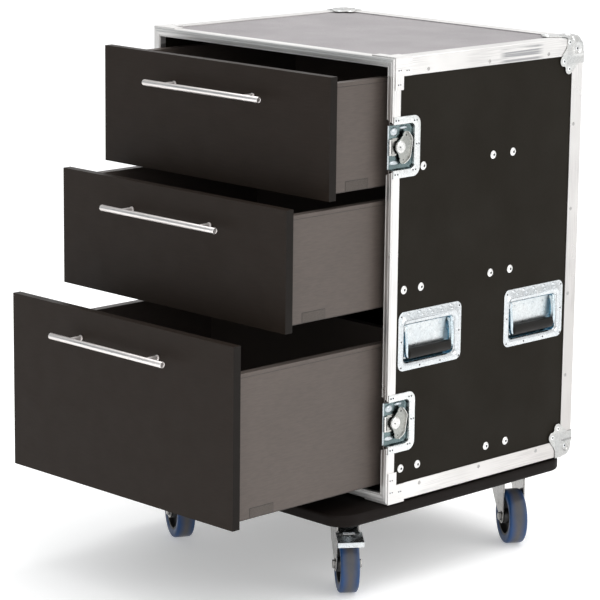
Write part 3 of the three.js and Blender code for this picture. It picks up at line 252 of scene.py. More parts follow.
def laminate_material(name):
    """Matt dark laminate of the drawer fronts: a faint level grain, and painted shade darkening the faces
    turned sideways.
    """
    base = (0.0190, 0.0135, 0.0103)
    m = Shader(name, base, 0.52, gloss=0.11)
    tone = m.tint(m.noise(90, 4, (0.5, 9, 9)), base, 0.9, 1.15)
    # Painted shade: the sideways faces at the edges of the fronts are darkened.
    sideways = m.math("ABSOLUTE", m.part(m.places["Normal"], "X"))
    edge_shaded_tone = m.mix(m.spread(sideways, 0.0, 0.72, 0.5, 0.8), tone, (0.003, 0.0024, 0.0018))
    m.finish(edge_shaded_tone, m.spread(m.noise(30, 3), 0.42, 0.52), m.noise(1100, 2), 0.08, 0.5)


def coated_steel_material(name):
    """Brown-grey powder coat of the drawer sides, with a fine upright grain."""
    base = (0.094, 0.077, 0.068)
    m = Shader(name, base, 0.48, 0.1, 0.3)
    weave = m.noise(520, 2, (1, 0.12, 1))
    specks = m.ramp(weave, (0.3, 0.9), (0.7, (1.06, 1.05, 1.04)))
    tone = m.product(m.tint(m.noise(5, 3), base, 0.93, 1.06), specks)
    m.finish(tone, m.spread(m.noise(60, 3), 0.38, 0.48), weave, 0.06, 0.5)


def dark_board_material(name):
    base = (0.010, 0.0085, 0.008)
    m = Shader(name, base, 0.6, gloss=0.1)
    m.finish(m.tint(m.noise(60, 4, (1, 6, 1)), base, 0.8, 1.3), bump=m.noise(700, 2))


def rubber_material(name, base, roughness, gloss=0.5):
    m = Shader(name, base, roughness, gloss=gloss)
    rough = m.spread(m.noise(35, 3), roughness - 0.08, roughness + 0.1)
    m.finish(m.tint(m.noise(22, 4), base, 0.8, 1.25), rough, m.noise(700, 2))


def tyre_material(name):
    """Blue elastic tyre: clear blue flanks, and a tread in grey-brown that is partly wear and partly painted
    sheen.
    """
    base = (0.006, 0.040, 0.125)
    m = Shader(name, base, 0.4, gloss=0.4)
    lateral = m.math("ABSOLUTE", m.part(m.coords, "Z"))
    wander = m.math("MULTIPLY_ADD", m.noise(14, 3), 0.016, lateral)
    tread = m.spread(wander, 1.0, 0.0, 0.011, 0.0225)
    # Wear on the tread in grey-brown, lightened as a painted sheen as well.
    dust_and_sheen = m.ramp(m.noise(22, 5), (0.3, (0.042, 0.048, 0.064)), (0.5, (0.066, 0.066, 0.072)),
                  (0.7, (0.096, 0.078, 0.070)))
    blue = m.tint(m.noise(24, 3), base, 0.85, 1.25)
    m.finish(m.mix(tread, blue, dust_and_sheen), m.spread(m.noise(35, 3), 0.32, 0.5), m.noise(600, 2), 0.1, 0.35)


def brushed_material(name, base, stretch, roughness):
    """Steel brushed along the axis with the smallest scale in its stretch."""
    m = Shader(name, base, roughness, 1.0)
    lines = m.noise(40, 3, stretch)
    rough = m.spread(m.noise(20, 3), roughness - 0.05, roughness + 0.07)
    m.finish(m.tint(lines, base, 0.9, 1.06), rough, lines, 0.03)


# Zinc by name: colour, lowest and highest roughness, and tone at the foot of the case
ZINCS = {
    "bright_zinc": ((0.62, 0.64, 0.65),),
    "flange_zinc": ((0.66, 0.655, 0.635), 0.2, 0.38, 0.74),
    "ball_zinc": ((0.61, 0.605, 0.59), 0.12, 0.24, 0.72),
    "ball_rivet_zinc": ((0.84, 0.85, 0.84), 0.2, 0.36),
    "latch_zinc": ((0.72, 0.73, 0.72), 0.22, 0.4),
    "tub_floor_zinc": ((0.50, 0.54, 0.56), 0.26, 0.36),
    "dish_floor_zinc": ((0.64, 0.665, 0.67), 0.26, 0.36),
    "dish_side_zinc": ((0.12, 0.30, 0.42), 0.2, 0.36),
    # Painted shade: the dark zinc lining deep in the latch recesses.
    "recess_zinc": ((0.15, 0.20, 0.205),),
    "fork_zinc": ((0.34, 0.33, 0.315), 0.12, 0.3),
    "rivet_zinc": ((0.74, 0.75, 0.76), 0.2, 0.36),
    "blue_zinc": ((0.62, 0.70, 0.74), 0.14, 0.3),
    "edge_rivet": ((0.42, 0.41, 0.40), 0.24, 0.4),
    "hook_zinc": ((0.47, 0.465, 0.44), 0.18, 0.34),
    "hub_zinc": ((0.70, 0.69, 0.67), 0.18, 0.32),
    "wing_zinc": ((0.33, 0.335, 0.315), 0.2, 0.36),
    "bolt_zinc": ((0.86, 0.85, 0.83), 0.24, 0.36),
}


def make_materials():
    for name, look in ZINCS.items():
        zinc_material(name, *look)
    edging_material("edging_aluminium")
    edging_material("trim_aluminium", 0.45, 0.9)
    ply_material("side_ply", (0.0135, 0.0115, 0.0085), (0.0165, 0.0145, 0.0112), 0.62, 900, 0.06)
    # Painted reflection: the top panel is film-faced ply like the sides, coloured light grey to stand for the
    # sheen of the lamps on it.
    ply_material("top_ply", (0.275, 0.262, 0.272), (0.335, 0.318, 0.330), 0.62, 500)
    ply_material("board_ply", (0.0068, 0.0052, 0.0044), (0.0095, 0.0070, 0.0062), 0.5, 900, 0.07)
    ply_material("screw_cover", (0.068, 0.057, 0.050), (0.076, 0.064, 0.056), 0.5, 500)
    laminate_material("front_laminate")
    coated_steel_material("drawer_coat")
    dark_board_material("drawer_board")
    rubber_material("black_grip", (0.0075, 0.0065, 0.0055), 0.42, 0.16)
    rubber_material("hub_plastic", (0.012, 0.0115, 0.0115), 0.4)
    # Painted shade for the dark lines along the drawer sides.
    rubber_material("side_seam", (0.028, 0.023, 0.020), 0.6)
    rubber_material("rivet_shadow", (0.012, 0.013, 0.014), 0.6)
    tyre_material("blue_tyre_worn")
    brushed_material("pull_steel", (0.93, 0.885, 0.865), (0.6, 40, 40), 0.42)
    brushed_material("pull_post_steel", (0.95, 0.90, 0.88), (40, 0.6, 40), 0.5)


# Materials of the frame's own nodes by a part of their names; the rest is bright zinc
NODE_MATERIALS = {
    "edge_frame": "edging_aluminium", "front_frame": "trim_aluminium", "top_panel": "top_ply",
    "panel": "side_ply",
    "castor_board": "board_ply", "castor_fork": "fork_zinc", "brake_pedal": "fork_zinc",
    "wheel": "blue_tyre_worn", "handle_bail": "black_grip", "drawer_front": "front_laminate",
    "drawer_pull": "pull_steel", "drawer_frame": "drawer_coat", "drawer_base": "drawer_board",
}
NODE_ROUNDING = {"drawer_front": 0.6, "drawer_frame": 0.4, "drawer_base": 0.4}


def soften(obj, width, segments=2, angle=30):
    bevel = obj.modifiers.new("bevel", "BEVEL")
    bevel.width = width * MM
    bevel.segments = segments
    bevel.limit_method = "ANGLE"
    bevel.angle_limit = math.radians(angle)


def dress_nodes():
    for name, obj in frame["nodes"].items():
        kind = next((kind for kind in NODE_MATERIALS if kind in name), None)
        obj.data.materials.clear()
        obj.data.materials.append(MATERIALS[NODE_MATERIALS.get(kind, "bright_zinc")])
        if kind in NODE_ROUNDING:
            soften(obj, NODE_ROUNDING[kind], angle=35)


# Mesh building
PLANES = {"xy": (0, 1, 2), "yz": (2, 0, 1), "zx": (1, 2, 0), "xz": (0, 2, 1)}
UNMOVED = Matrix.Identity(4)


def off_plane(plane, u, v, w):
    """A point u and v along a plane, and w off it."""
    flat = (u, v, w)
    return Vector([flat[k] for k in PLANES[plane]])


def moved(x, y, z):
    return Matrix.Translation((x, y, z))


def spun(axis, degrees=90):
    return Matrix.Rotation(math.radians(degrees), 4, axis)


def arc(cu, cv, radius, start, end, steps):
    """Points on an arc round a centre, its angles in degrees."""
    angles = [math.radians(start + (end - start) * k / steps) for k in range(steps + 1)]
    return [(cu + radius * math.cos(a), cv + radius * math.sin(a)) for a in angles]


def rounded_ring(u0, v0, u1, v1, radius, steps=8):
    """Points of a rounded rectangle, counter-clockwise from its lower right corner."""
    left, right, low, high = u0 + radius, u1 - radius, v0 + radius, v1 - radius
    corners = [(right, low), (right, high), (left, high), (left, low)]
    return sum([arc(*corner, radius, 90 * k - 90, 90 * k, steps) for k, corner in enumerate(corners)], [])


def loft(bm, rings, closed=True, caps=True, around=False):
    """Quads between successive rings of 3-D points, capped at both ends or run back to the first ring."""
    rows = [[bm.verts.new(p) for p in ring] for ring in rings]
    if around:
        rows.append(rows[0])
    count = len(rows[0])
    for row, following in zip(rows, rows[1:]):
        for i in range(count if closed else count - 1):
            j = (i + 1) % count
            bm.faces.new((row[i], row[j], following[j], following[i]))
    if caps:
        bm.faces.new(rows[0][::-1])
        bm.faces.new(rows[-1])
    return rows


def lathe(bm, profile, segments, place=UNMOVED, around=False):
    """Revolves (radius, height) points about Z, closed by points on the axis or run back to the first."""
    rows = []
    for radius, height in profile:
        ring = arc(0, 0, radius, 0, 360, segments)[:segments] if radius > 0 else [(0, 0)]
        rows.append([bm.verts.new(place @ Vector((x, y, height))) for x, y in ring])
    if around:
        rows.append(rows[0])
    for lower, upper in zip(rows, rows[1:]):
        for i in range(segments):
            j = (i + 1) % segments
            if len(lower) == 1:
                bm.faces.new((lower[0], upper[j], upper[i]))
            elif len(upper) == 1:
                bm.faces.new((lower[i], lower[j], upper[0]))
            else:
                bm.faces.new((lower[i], lower[j], upper[j], upper[i]))


def disc(bm, radius, low, high, segments, place=UNMOVED):
    """A round or many-sided plate between two heights."""
    lathe(bm, [(0, low), (radius, low), (radius, high), (0, high)], segments, place)


def extrude(bm, plane, outline, low, high, place=UNMOVED):
    """A closed plate between two distances off a plane."""
    loft(bm, [[place @ off_plane(plane, u, v, w) for u, v in outline] for w in (low, high)])


def slab(bm, plane, low, high):
    """A rectangular plate between two corners."""
    (u0, v0, w0), (u1, v1, w1) = low, high
    extrude(bm, plane, [(u0, v0), (u1, v0), (u1, v1), (u0, v1)], w0, w1)


def finish_piece(name, bm, material, body="case", replaces=(), smooth=40, soft=None,
                 at=UNMOVED, place=None):
    """Turns a bmesh in millimetres into a piece that rides on a body, its mesh or its object moved."""
    bm.transform(Matrix.Scale(MM, 4) @ at)
    bmesh.ops.recalc_face_normals(bm, faces=bm.faces)
    mesh = bpy.data.meshes.new(name)
    bm.to_mesh(mesh)
    bm.free()
    obj = bpy.data.objects.new(name, mesh)
    bpy.context.scene.collection.objects.link(obj)
    if soft:
        soften(obj, *soft)
    if smooth:
        mesh.polygons.foreach_set("use_smooth", [True] * len(mesh.polygons))
        mesh.set_sharp_from_angle(angle=math.radians(smooth))
    mesh.materials.append(MATERIALS[material])
    if place is not None:
        obj.matrix_world = Matrix.Translation(place.translation * MM) @ place.to_3x3().to_4x4()
    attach(obj, body)
    if replaces:
        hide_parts(*replaces)


# Castors
CASTOR_HEIGHT = 132.7
WHEEL_RADIUS = 50
TYRE_HALF = 16.6
TYRE_SHOULDER = 5
FORK_INSIDE = 17.6
FORK_WALL = 3
FORK_HALF = FORK_INSIDE + FORK_WALL
FORK_LEAD, FORK_BACK = -30, 50
CROWN_UNDER = -10.3
TRAIL = 38
AXLE_LEVEL = WHEEL_RADIUS - CASTOR_HEIGHT
CASTORS = ("front_right", "front_left", "rear_right", "rear_left")


def castor_frame(name):
    """Matrix of a castor: origin on its swivel axis at the board, X towards the wheel's trail."""
    low, high = span(f"wheel_{name}")
    joint = next(j for j in frame["joints"] if j["name"] == f"castor_swivel_{name}")
    pivot = Vector(joint["pos_m"]) / MM
    trail = (low + high) / 2 - pivot
    trail.z = 0
    along = trail.normalized()
    across = Vector((0, 0, 1)).cross(along)
    turn = Matrix((along, across, Vector((0, 0, 1)))).transposed().to_4x4()
    return Matrix.Translation(pivot) @ turn


def mirrored(profile):
    """A profile followed by its mirror image across its middle."""
    return profile + [(radius, -height) for radius, height in reversed(profile)]


def make_wheel(name, place):
    axle = place @ moved(TRAIL, 0, AXLE_LEVEL) @ spun("X")
    h = TYRE_HALF
    bm = bmesh.new()
    shoulder = arc(WHEEL_RADIUS - TYRE_SHOULDER, TYRE_SHOULDER - h, TYRE_SHOULDER, -90, 0, 8)
    lathe(bm, mirrored([(35, 2.5 - h), (38, 0.6 - h)] + shoulder), 72, around=True)
    wheel = f"wheel_{name}"
    finish_piece(f"tyre_{name}", bm, "blue_tyre_worn", wheel, (wheel,), place=axle)

    bm = bmesh.new()
    hub, rim, web, half = 13, 35.2, 5, FORK_INSIDE - 0.4
    side = [(5.3, -half), (hub - 1, -half), (hub, 1 - half), (hub + 1.5, -web - 1), (hub + 3, -web),
            (rim - 6, -web), (rim - 4, -web - 1.5), (rim - 3, 2.2 - h), (rim, 1.6 - h)]
    lathe(bm, mirrored(side), 64, around=True)
    finish_piece(f"hub_{name}", bm, "hub_plastic", wheel, place=axle)


def arm_outline():
    """Side of the fork in (trail, height), from the crown down round the axle eye."""
    top, eye, bend = CROWN_UNDER + FORK_WALL, 13, 3
    points = [(FORK_LEAD, top), (FORK_BACK - bend, top)]
    start, end = Vector((FORK_BACK, top - bend)), Vector((TRAIL + eye, AXLE_LEVEL))
    points += [tuple(start.lerp(end, k / 8)) for k in range(8)]
    points += arc(TRAIL, AXLE_LEVEL, eye, 0, -180, 16)
    foot, shoulder = Vector((TRAIL - eye, AXLE_LEVEL)), Vector((FORK_LEAD, -34.3))
    control = Vector((-15, AXLE_LEVEL / 2 - 17.15))
    for t in (k / 12 for k in range(1, 13)):
        points.append(tuple(foot.lerp(control, t).lerp(control.lerp(shoulder, t), t)))
    return points


def make_fork(name, place):
    body = f"castor_fork_{name}"
    bm = bmesh.new()
    for low in (FORK_INSIDE, -FORK_HALF):
        extrude(bm, "xz", arm_outline(), low, low + FORK_WALL)
    yoke = rounded_ring(FORK_LEAD, -FORK_HALF, FORK_BACK, FORK_HALF, 3, 4)
    extrude(bm, "xy", yoke, CROWN_UNDER, CROWN_UNDER + FORK_WALL)
    finish_piece(f"fork_{name}", bm, "fork_zinc", body, (body,), soft=(0.8, 3), place=place)

    bm = bmesh.new()
    crown = [(9, -4.6), (12, -3.4), (24, -3.3), (26.5, -4.2), (27, -6), (26, -8.6), (28.5, -9.4),
             (28.5, -10.2), (9, -10.2)]
    lathe(bm, crown, 48, around=True)
    axle = moved(TRAIL, 0, AXLE_LEVEL) @ spun("X")
    disc(bm, 5, -FORK_HALF - 1, FORK_HALF + 1, 20, axle)
    for way in (-1, 1):
        turn = axle @ moved(0, 0, way * (FORK_HALF - 0.2)) @ Matrix.Scale(way, 4, (0, 0, 1))
        lathe(bm, [(0, 0), (7.6, 0), (8, 0.6), (8, 4), (7.2, 5), (0, 5)], 6, turn)
        disc(bm, 10, 0, 1.2, 28, turn)
    finish_piece(f"fork_crown_{name}", bm, "fork_zinc", body, place=place)


# Brake pedal: its slope, the thickness of its sheet, half its width and how far it reaches
PEDAL_SLOPE = -16 / 60
PEDAL_SHEET = 2.6
PEDAL_HALF = 23
PEDAL_REACH = 62.4


def make_pedal(name, place):
    """Brake pedal: a sheet with a slot between two cheeks, and a turned-down lip."""
    body = f"brake_pedal_{name}"
    pivot = place @ moved(26, 0, -15.8)
    inside = FORK_INSIDE - 0.3
    columns = (0, 28.2, 30, 38, PEDAL_REACH)
    rows = (-PEDAL_HALF, -inside, -10, 10, inside, PEDAL_HALF)
    cells = {(i, j) for i in range(4) for j in range(5)} - {(0, 0), (0, 4), (2, 2)}
    verts = {}
    bm = bmesh.new()

    def vert(i, j, w):
        if (i, j, w) not in verts:
            verts[i, j, w] = bm.verts.new((columns[i], rows[j], PEDAL_SLOPE * columns[i] + w))
        return verts[i, j, w]

    for i, j in sorted(cells):
        corners = [(i, j), (i + 1, j), (i + 1, j + 1), (i, j + 1)]
        bm.faces.new([vert(*corner, PEDAL_SHEET) for corner in corners])
        bm.faces.new([vert(*corner, 0) for corner in reversed(corners)])
        for k, beside in enumerate([(i, j - 1), (i + 1, j), (i, j + 1), (i - 1, j)]):
            if beside not in cells:
                a, b = corners[k], corners[(k + 1) % 4]
                bm.faces.new((vert(*a, 0), vert(*b, 0), vert(*b, PEDAL_SHEET), vert(*a, PEDAL_SHEET)))
    finish_piece(f"pedal_{name}", bm, "bright_zinc", body, (body,), soft=(0.7, 3), place=pivot)

    bm = bmesh.new()
    extrude(bm, "xz", [(60, -16.2), (62.4, -15.4), (62.6, -23), (60, -23)], -PEDAL_HALF, PEDAL_HALF)
    disc(bm, 4, -inside, inside, 20, spun("X"))
    finish_piece(f"pedal_lip_{name}", bm, "bright_zinc", body, soft=(0.8, 3), place=pivot)


def make_castors():
    for name in CASTORS:
        place = castor_frame(name)
        make_wheel(name, place)
        make_fork(name, place)
        if name.startswith("front"):
            make_pedal(name, place)


# Castor board: plywood with rounded edges, and the plates bolted under it
BOARD_GAP = 3.3
BOARD_THICKNESS = 22
BOARD_EDGE = 6
BOARD_CORNER = 40
BOARD_REAR_INSET = 11


def make_board():
    low, high = span("castor_board")
    top = CASE_BOTTOM - BOARD_GAP
    half = high.x
    edge = arc(BOARD_EDGE, BOARD_EDGE, BOARD_EDGE, -90, -180, 6)
    levels = [(inset, top - depth) for inset, depth in edge]
    levels += [(inset, top - BOARD_THICKNESS + depth) for inset, depth in reversed(edge)]
    rings = []
    for inset, z in levels:
        ring = rounded_ring(-half + inset, low.y + inset, half - inset, high.y - BOARD_REAR_INSET - inset,
                            BOARD_CORNER - inset, 12)
        rings.append([Vector((u, v, z)) for u, v in ring])
    bm = bmesh.new()
    loft(bm, rings)
    finish_piece("board", bm, "board_ply", "case", ("castor_board",))

    bm = bmesh.new()
    for name in CASTORS:
        pivot = Matrix.Translation(castor_frame(name).translation)
        extrude(bm, "xy", rounded_ring(-50, -42.5, 50, 42.5, 8, 6), -3, 0, pivot)
        for x in (-40, 40):
            for y in (-32, 32):
                head = pivot @ moved(x, y, -3) @ spun("X", 180)
                disc(bm, 8, -0.2, 1.2, 24, head)
                lathe(bm, [(0, 0), (6.5, 0), (6.5, 5), (5.5, 6), (0, 6)], 6, head)
        disc(bm, 8, -10.9, -2, 24, pivot)
        disc(bm, 12, -13.9, -10.9, 6, pivot)
    finish_piece("castor_plates", bm, "bright_zinc", soft=(0.4, 2))


# Rivets: domed heads, with dark discs painted as shade in their sunk middles, or at both sides of a head
# where offsets are given
def finish_rivets(name, places, radius, rise, core=0.0, offsets=(0.0,), material="rivet_zinc"):
    """One piece of heads and one of dark discs of painted shade, each place turning local X outwards."""
    heads, shade_cores = bmesh.new(), bmesh.new()
    dome = [(0, rise * 0.1), (radius * 0.30, rise * 0.16), (radius * 0.46, rise * 0.9), (radius * 0.62, rise),
            (radius * 0.86, rise * 0.72), (radius, rise * 0.12), (radius, -0.25), (0, -0.25)]
    for place in places:
        lathe(heads, dome, 20, place @ spun("Y"))
        for shift in offsets if core else ():
            disc(shade_cores, core, -rise, rise * 0.75, 14, place @ moved(rise * 0.35, shift, 0) @ spun("Y"))
    finish_piece(f"{name}_heads", heads, material, smooth=35)
    if core:
        finish_piece(f"{name}_cores", shade_cores, "rivet_shadow", smooth=35)
    else:
        shade_cores.free()


# Ball corners: a pressed ball with dimples on each rear corner, and lobed flanges riveted to the panels
BALL_BLOCK = 46
BALL_EDGE_ROUND = 11
SLEEVE_ROUND = 5
BALL_TIP_ROUND = 17.5
BALL_PROUD = 3
BALL_WALL = 4.4
BALL_CELLS = 28
DIMPLE_PLACE = -19.5
DIMPLE_DEPTH = 1.9
LOBE_NEAR = 40
LOBE_FAR = 54.5
LOBE_RADIUS = 9.6
FLANGE_LEVEL = 0.35
FLANGE_SHEET = 1.2
CORNER_PLANES = ("yz", "zx", "xy")
CORNER_TURNS = {"yz": UNMOVED, "zx": spun("Z"), "xy": spun("Y", -90)}


def smooth_step(value, start, end):
    share = min(1.0, max(0.0, (value - start) / (end - start)))
    return share * share * (3 - 2 * share)


def ball_point(plane, a, b):
    """Outer and inner point of the pressing on one outer face, a and b running back from the corner."""
    point = off_plane(plane, a, b, BALL_PROUD)
    edge = SLEEVE_ROUND + (BALL_EDGE_ROUND - SLEEVE_ROUND) * smooth_step(min(point), -32, -24)
    radius = edge + (BALL_TIP_ROUND - edge) * smooth_step(min(point), -20, 0)
    core = Vector([min(part, BALL_PROUD - radius) for part in point])
    normal = (point - core).normalized()
    sunk = 1.4 * smooth_step(max(-a, -b), 29.5, 31.5)
    away = math.hypot(a - DIMPLE_PLACE, b - DIMPLE_PLACE)
    sunk += DIMPLE_DEPTH * (1 - smooth_step(away, 7.2, 9.8))
    return core + normal * (radius - sunk), core + normal * max(radius - BALL_WALL, 0.0)


def lobe_outline():
    """The flange beside the pressing, with two round lobes, in distances from the corner."""
    flank = [(4, 43), (11, 45), (20, 50), (29.5, 59)]
    points = [(v, u) for u, v in flank]
    points += arc(LOBE_FAR, LOBE_NEAR, LOBE_RADIUS, -62, 103, 12)
    points += arc(LOBE_NEAR, LOBE_FAR, LOBE_RADIUS, -13, 152, 12)
    return [(-u, -v) for u, v in points + flank[::-1]]


def make_ball_corner(name, place):
    """One corner, built as the upper right rear one, its axes all pointing outwards."""
    steps = [BALL_PROUD - (BALL_PROUD + BALL_BLOCK) * k / BALL_CELLS for k in range(BALL_CELLS + 1)]
    bm = bmesh.new()
    for plane in CORNER_PLANES:
        grid = [[ball_point(plane, a, b) for b in steps] for a in steps]
        outer, inner = ([[bm.verts.new(cell[skin]) for cell in row] for row in grid] for skin in (0, 1))
        for i in range(BALL_CELLS):
            for skin in (outer, inner):
                for j in range(BALL_CELLS):
                    bm.faces.new((skin[i][j], skin[i][j + 1], skin[i + 1][j + 1], skin[i + 1][j]))
            bm.faces.new((outer[i][-1], inner[i][-1], inner[i + 1][-1], outer[i + 1][-1]))
            bm.faces.new((outer[-1][i], outer[-1][i + 1], inner[-1][i + 1], inner[-1][i]))
    bmesh.ops.remove_doubles(bm, verts=bm.verts, dist=0.001)
    finish_piece(f"ball_{name}", bm, "ball_zinc", replaces=(f"ball_corner_{name}",), smooth=35, at=place)

    bm = bmesh.new()
    for plane in CORNER_PLANES:
        extrude(bm, plane, lobe_outline(), FLANGE_LEVEL, FLANGE_LEVEL + FLANGE_SHEET)
    finish_piece(f"ball_flange_{name}", bm, "flange_zinc", smooth=35, soft=(0.35, 2), at=place)

    lobes = ((-LOBE_NEAR, -LOBE_FAR), (-LOBE_FAR, -LOBE_NEAR))
    rivets = [(plane, u, v) for plane in CORNER_PLANES for u, v in lobes]
    if name.startswith("top"):
        rivets.append(("yz", -41, -7))
    heads = [place @ moved(*off_plane(plane, u, v, 1.5)) @ CORNER_TURNS[plane] for plane, u, v in rivets]
    dimple = (DIMPLE_PLACE, DIMPLE_PLACE, BALL_PROUD - DIMPLE_DEPTH)
    pits = [place @ moved(*off_plane(plane, *dimple)) @ CORNER_TURNS[plane] for plane in CORNER_PLANES]
    finish_rivets(f"ball_rivets_{name}", heads, 4.2, 0.9, 1.5, material="ball_rivet_zinc")
    finish_rivets(f"ball_centres_{name}", pits, 3.4, 0.5, 2.0)


def make_ball_corners():
    for side, x in SIDES.items():
        for level, z, up in (("top", CASE_HEIGHT, 1), ("bottom", 0, -1)):
            corner = case_point(CASE_WIDTH / 2 * x, CASE_DEPTH, z)
            make_ball_corner(f"{level}_{side}", Matrix.Translation(corner) @ Matrix.Diagonal((x, 1, up, 1)))


# Spring handles: a pressed dish with a ribbed border, and a bail with a black grip
HANDLE_PLACES = {"front": 101, "rear": 373.5}
HANDLE_LEVEL = 281.72
BAIL_DEPTH, BAIL_RISE = -6.8, 21.5

# Rim of the dish: how far in from the flange's outline, and level
DISH_RIM = [(0.05, -1.5), (0, -1.1), (0.15, -0.6), (0.6, -0.35), (1.6, -0.3)]

# Its pressing inwards from there: half length, lower and upper edge, corner radius, level
DISH_BORDER = [(72, -45.6, 38.6, 12.5, -0.3), (71.2, -44.9, 38, 12, 0.35), (70.2, -44, 37.4, 11.2, 0.7),
               (69, -43, 36.6, 10.4, 0.6), (67.8, -42, 36, 9.5, 0.0)]
DISH_TUB = [(67, -41.2, 35.4, 9, -0.5), (65.8, -40.3, 34.8, 8.4, -1.0), (64.6, -39.4, 32.2, 8, -2.0),
            (63.6, -38.6, 29.6, 7.6, -3.1), (63, -38.1, 28, 7.2, -4.0), (62.7, -37.8, 27.2, 7, -5.0),
            (62.4, -37.4, 26.8, 6.8, -8.6), (62, -37, 26.4, 6.5, -11.6), (61.2, -36.2, 25.6, 6, -13.1),
            (59.5, -34.5, 24, 5, -13.8)]
DISH_WALL = [(62.5, -37.6, 27, 6.9, -4.9), (62.2, -37.2, 26.6, 6.6, -8.6), (61.8, -36.8, 26.2, 6.3, -11.5),
             (61, -36, 25.4, 5.8, -12.9), (59.6, -34.6, 24.1, 5, -13.5)]


def side_matrix(side, y, z):
    """Local X outwards from a side of the case, Y rearwards, Z up, on the outside of the edging."""
    way = SIDES[side]
    return Matrix.Translation(case_point(CASE_WIDTH / 2 * way, y, z)) @ Matrix.Diagonal((way, 1, 1, 1))


def side_ring(points, w):
    """A ring of (rearward, up) points at a level of a side's own frame."""
    return [Vector((w, u, v)) for u, v in points]


def dish_rings(sizes, grow=0.0, sink=0.0):
    """Rings of the handle dish, grown on all sides and sunk behind their level."""
    return [side_ring(rounded_ring(-half - grow, low - grow, half + grow, high + grow, corner + grow),
                      w - sink) for half, low, high, corner, w in sizes]


def mound(bm, y, z, w, length, width, rise, sides=20):
    """A low rounded rib standing out along local X."""
    rings = []
    for step in range(5):
        angle = math.pi / 2 * step / 5
        circle = arc(0, 0, math.cos(angle) / 2, 0, 360, sides)[:sides]
        ring = [(y + u * length, z + v * width) for u, v in circle]
        rings.append(side_ring(ring, w + math.sin(angle) * rise))
    rows = loft(bm, rings, caps=False)
    bm.faces.new(rows[0][::-1])
    peak = bm.verts.new((w + rise, y, z))
    for i in range(sides):
        bm.faces.new((rows[-1][i], rows[-1][(i + 1) % sides], peak))


def boss(bm, place, radius, half, rounding=0.8):
    """A short boss along Z with softened rims."""
    lathe(bm, [(0, -half), (radius - rounding, -half), (radius, -half + rounding), (radius, half - rounding),
               (radius - rounding, half), (0, half)], 24, place)


def make_handle_dish(name, place):
    bm = bmesh.new()
    seen = [side_ring(rounded_ring(-79.5 + i, -52 + i, 79.5 - i, 52 - i, 13 - i), w) for i, w in DISH_RIM]
    seen += dish_rings(DISH_BORDER + DISH_TUB)
    back = [side_ring(rounded_ring(-78, -50.5, 78, 50.5, 11.5), -1.5)] + dish_rings(DISH_TUB, 1, 1.2)
    loft(bm, back[::-1] + seen)
    for k in range(5):
        mound(bm, 27 * k - 56, 47, -0.7, 12, 5.5, 3.2)
        mound(bm, 25 * k - 46, 41, -0.7, 9, 5, 3)
    for way in (-1, 1):
        boss(bm, moved(BAIL_DEPTH, way * 61.4, BAIL_RISE) @ spun("X"), 6.2, 2)
    finish_piece(f"dish_{name}", bm, "bright_zinc", replaces=(f"handle_dish_{name}",), smooth=50, at=place)
    spots = ((-73, 44), (73, 44), (-73, -45.5), (73, -45.5), (-73, 0), (73, 0), (-26, -46.5), (26, -46.5))
    finish_rivets(f"dish_rivets_{name}", [place @ moved(-0.35, u, v) for u, v in spots], 2.9, 0.7, 1.7)

    bm = bmesh.new()
    loft(bm, dish_rings(DISH_WALL) + dish_rings(DISH_WALL, 0.5, 0.3)[::-1], caps=False, around=True)
    finish_piece(f"dish_wall_{name}", bm, "dish_side_zinc", smooth=50, at=place)

    bm = bmesh.new()
    extrude(bm, "yz", rounded_ring(-59.9, -34.9, 59.9, 24.4, 5), -13.9, -13.42)
    for k in (-1.5, -0.5, 0.5, 1.5):
        mound(bm, 25 * k, 16, -13.6, 7, 4, 0.9)
    finish_piece(f"dish_floor_{name}", bm, "dish_floor_zinc", smooth=50, at=place)


def bail_line(way):
    """Middle line of one bail arm from its pivot down round the end of the grip."""
    stops = [(BAIL_DEPTH, 58, BAIL_RISE), (-5.4, 58, 14), (-3.8, 57.9, 4), (-3.0, 57.6, -8), (-3.2, 57, -19),
             (-4.0, 55.4, -26), (-4.6, 52.4, -29), (-4.6, 50, -29.4)]
    points = [Vector((w, way * u, v)) for w, u, v in stops]
    fine = [a.lerp(b, k / 3) for a, b in zip(points, points[1:]) for k in range(3)] + points[-1:]
    for _ in range(2):
        fine = fine[:1] + [(a + b * 2 + c) / 4 for a, b, c in zip(fine, fine[1:], fine[2:])] + fine[-1:]
    return fine


def strap(bm, path, across, thickness, corner):
    """A flat bar along a path: wide along X, thin square to it, with rounded edges."""
    section = rounded_ring(-across / 2, -thickness / 2, across / 2, thickness / 2, corner, 4)
    rows = []
    for i, point in enumerate(path):
        along = (path[min(i + 1, len(path) - 1)] - path[max(i - 1, 0)]).normalized()
        wide = (Vector((1, 0, 0)) - along * along.x).normalized()
        thin = along.cross(wide)
        rows.append([point + wide * u + thin * v for u, v in section])
    loft(bm, rows)


def make_bail(name, place):
    body = f"handle_bail_{name}"
    bm = bmesh.new()
    for way in (-1, 1):
        strap(bm, bail_line(way), 8.4, 5.4, 2.4)
        boss(bm, moved(BAIL_DEPTH, way * 57.8, BAIL_RISE) @ spun("X"), 5.6, 2.4)
    finish_piece(f"bail_arms_{name}", bm, "blue_zinc", body, smooth=50, at=place)

    bm = bmesh.new()
    end = [(-53.5, 0.80), (-53.2, 0.9), (-52, 0.985), (-50, 1)]
    rings = []
    for u, share in end + [(-u, share) for u, share in reversed(end)]:
        round_grip = arc(0, 0, share, 0, 360, 36)[:36]
        rings.append([Vector((-4.6 + 7.9 * x, u, -24 + 9.4 * z)) for x, z in round_grip])
    loft(bm, rings)
    finish_piece(f"bail_grip_{name}", bm, "black_grip", body, (body,), smooth=50, at=place)


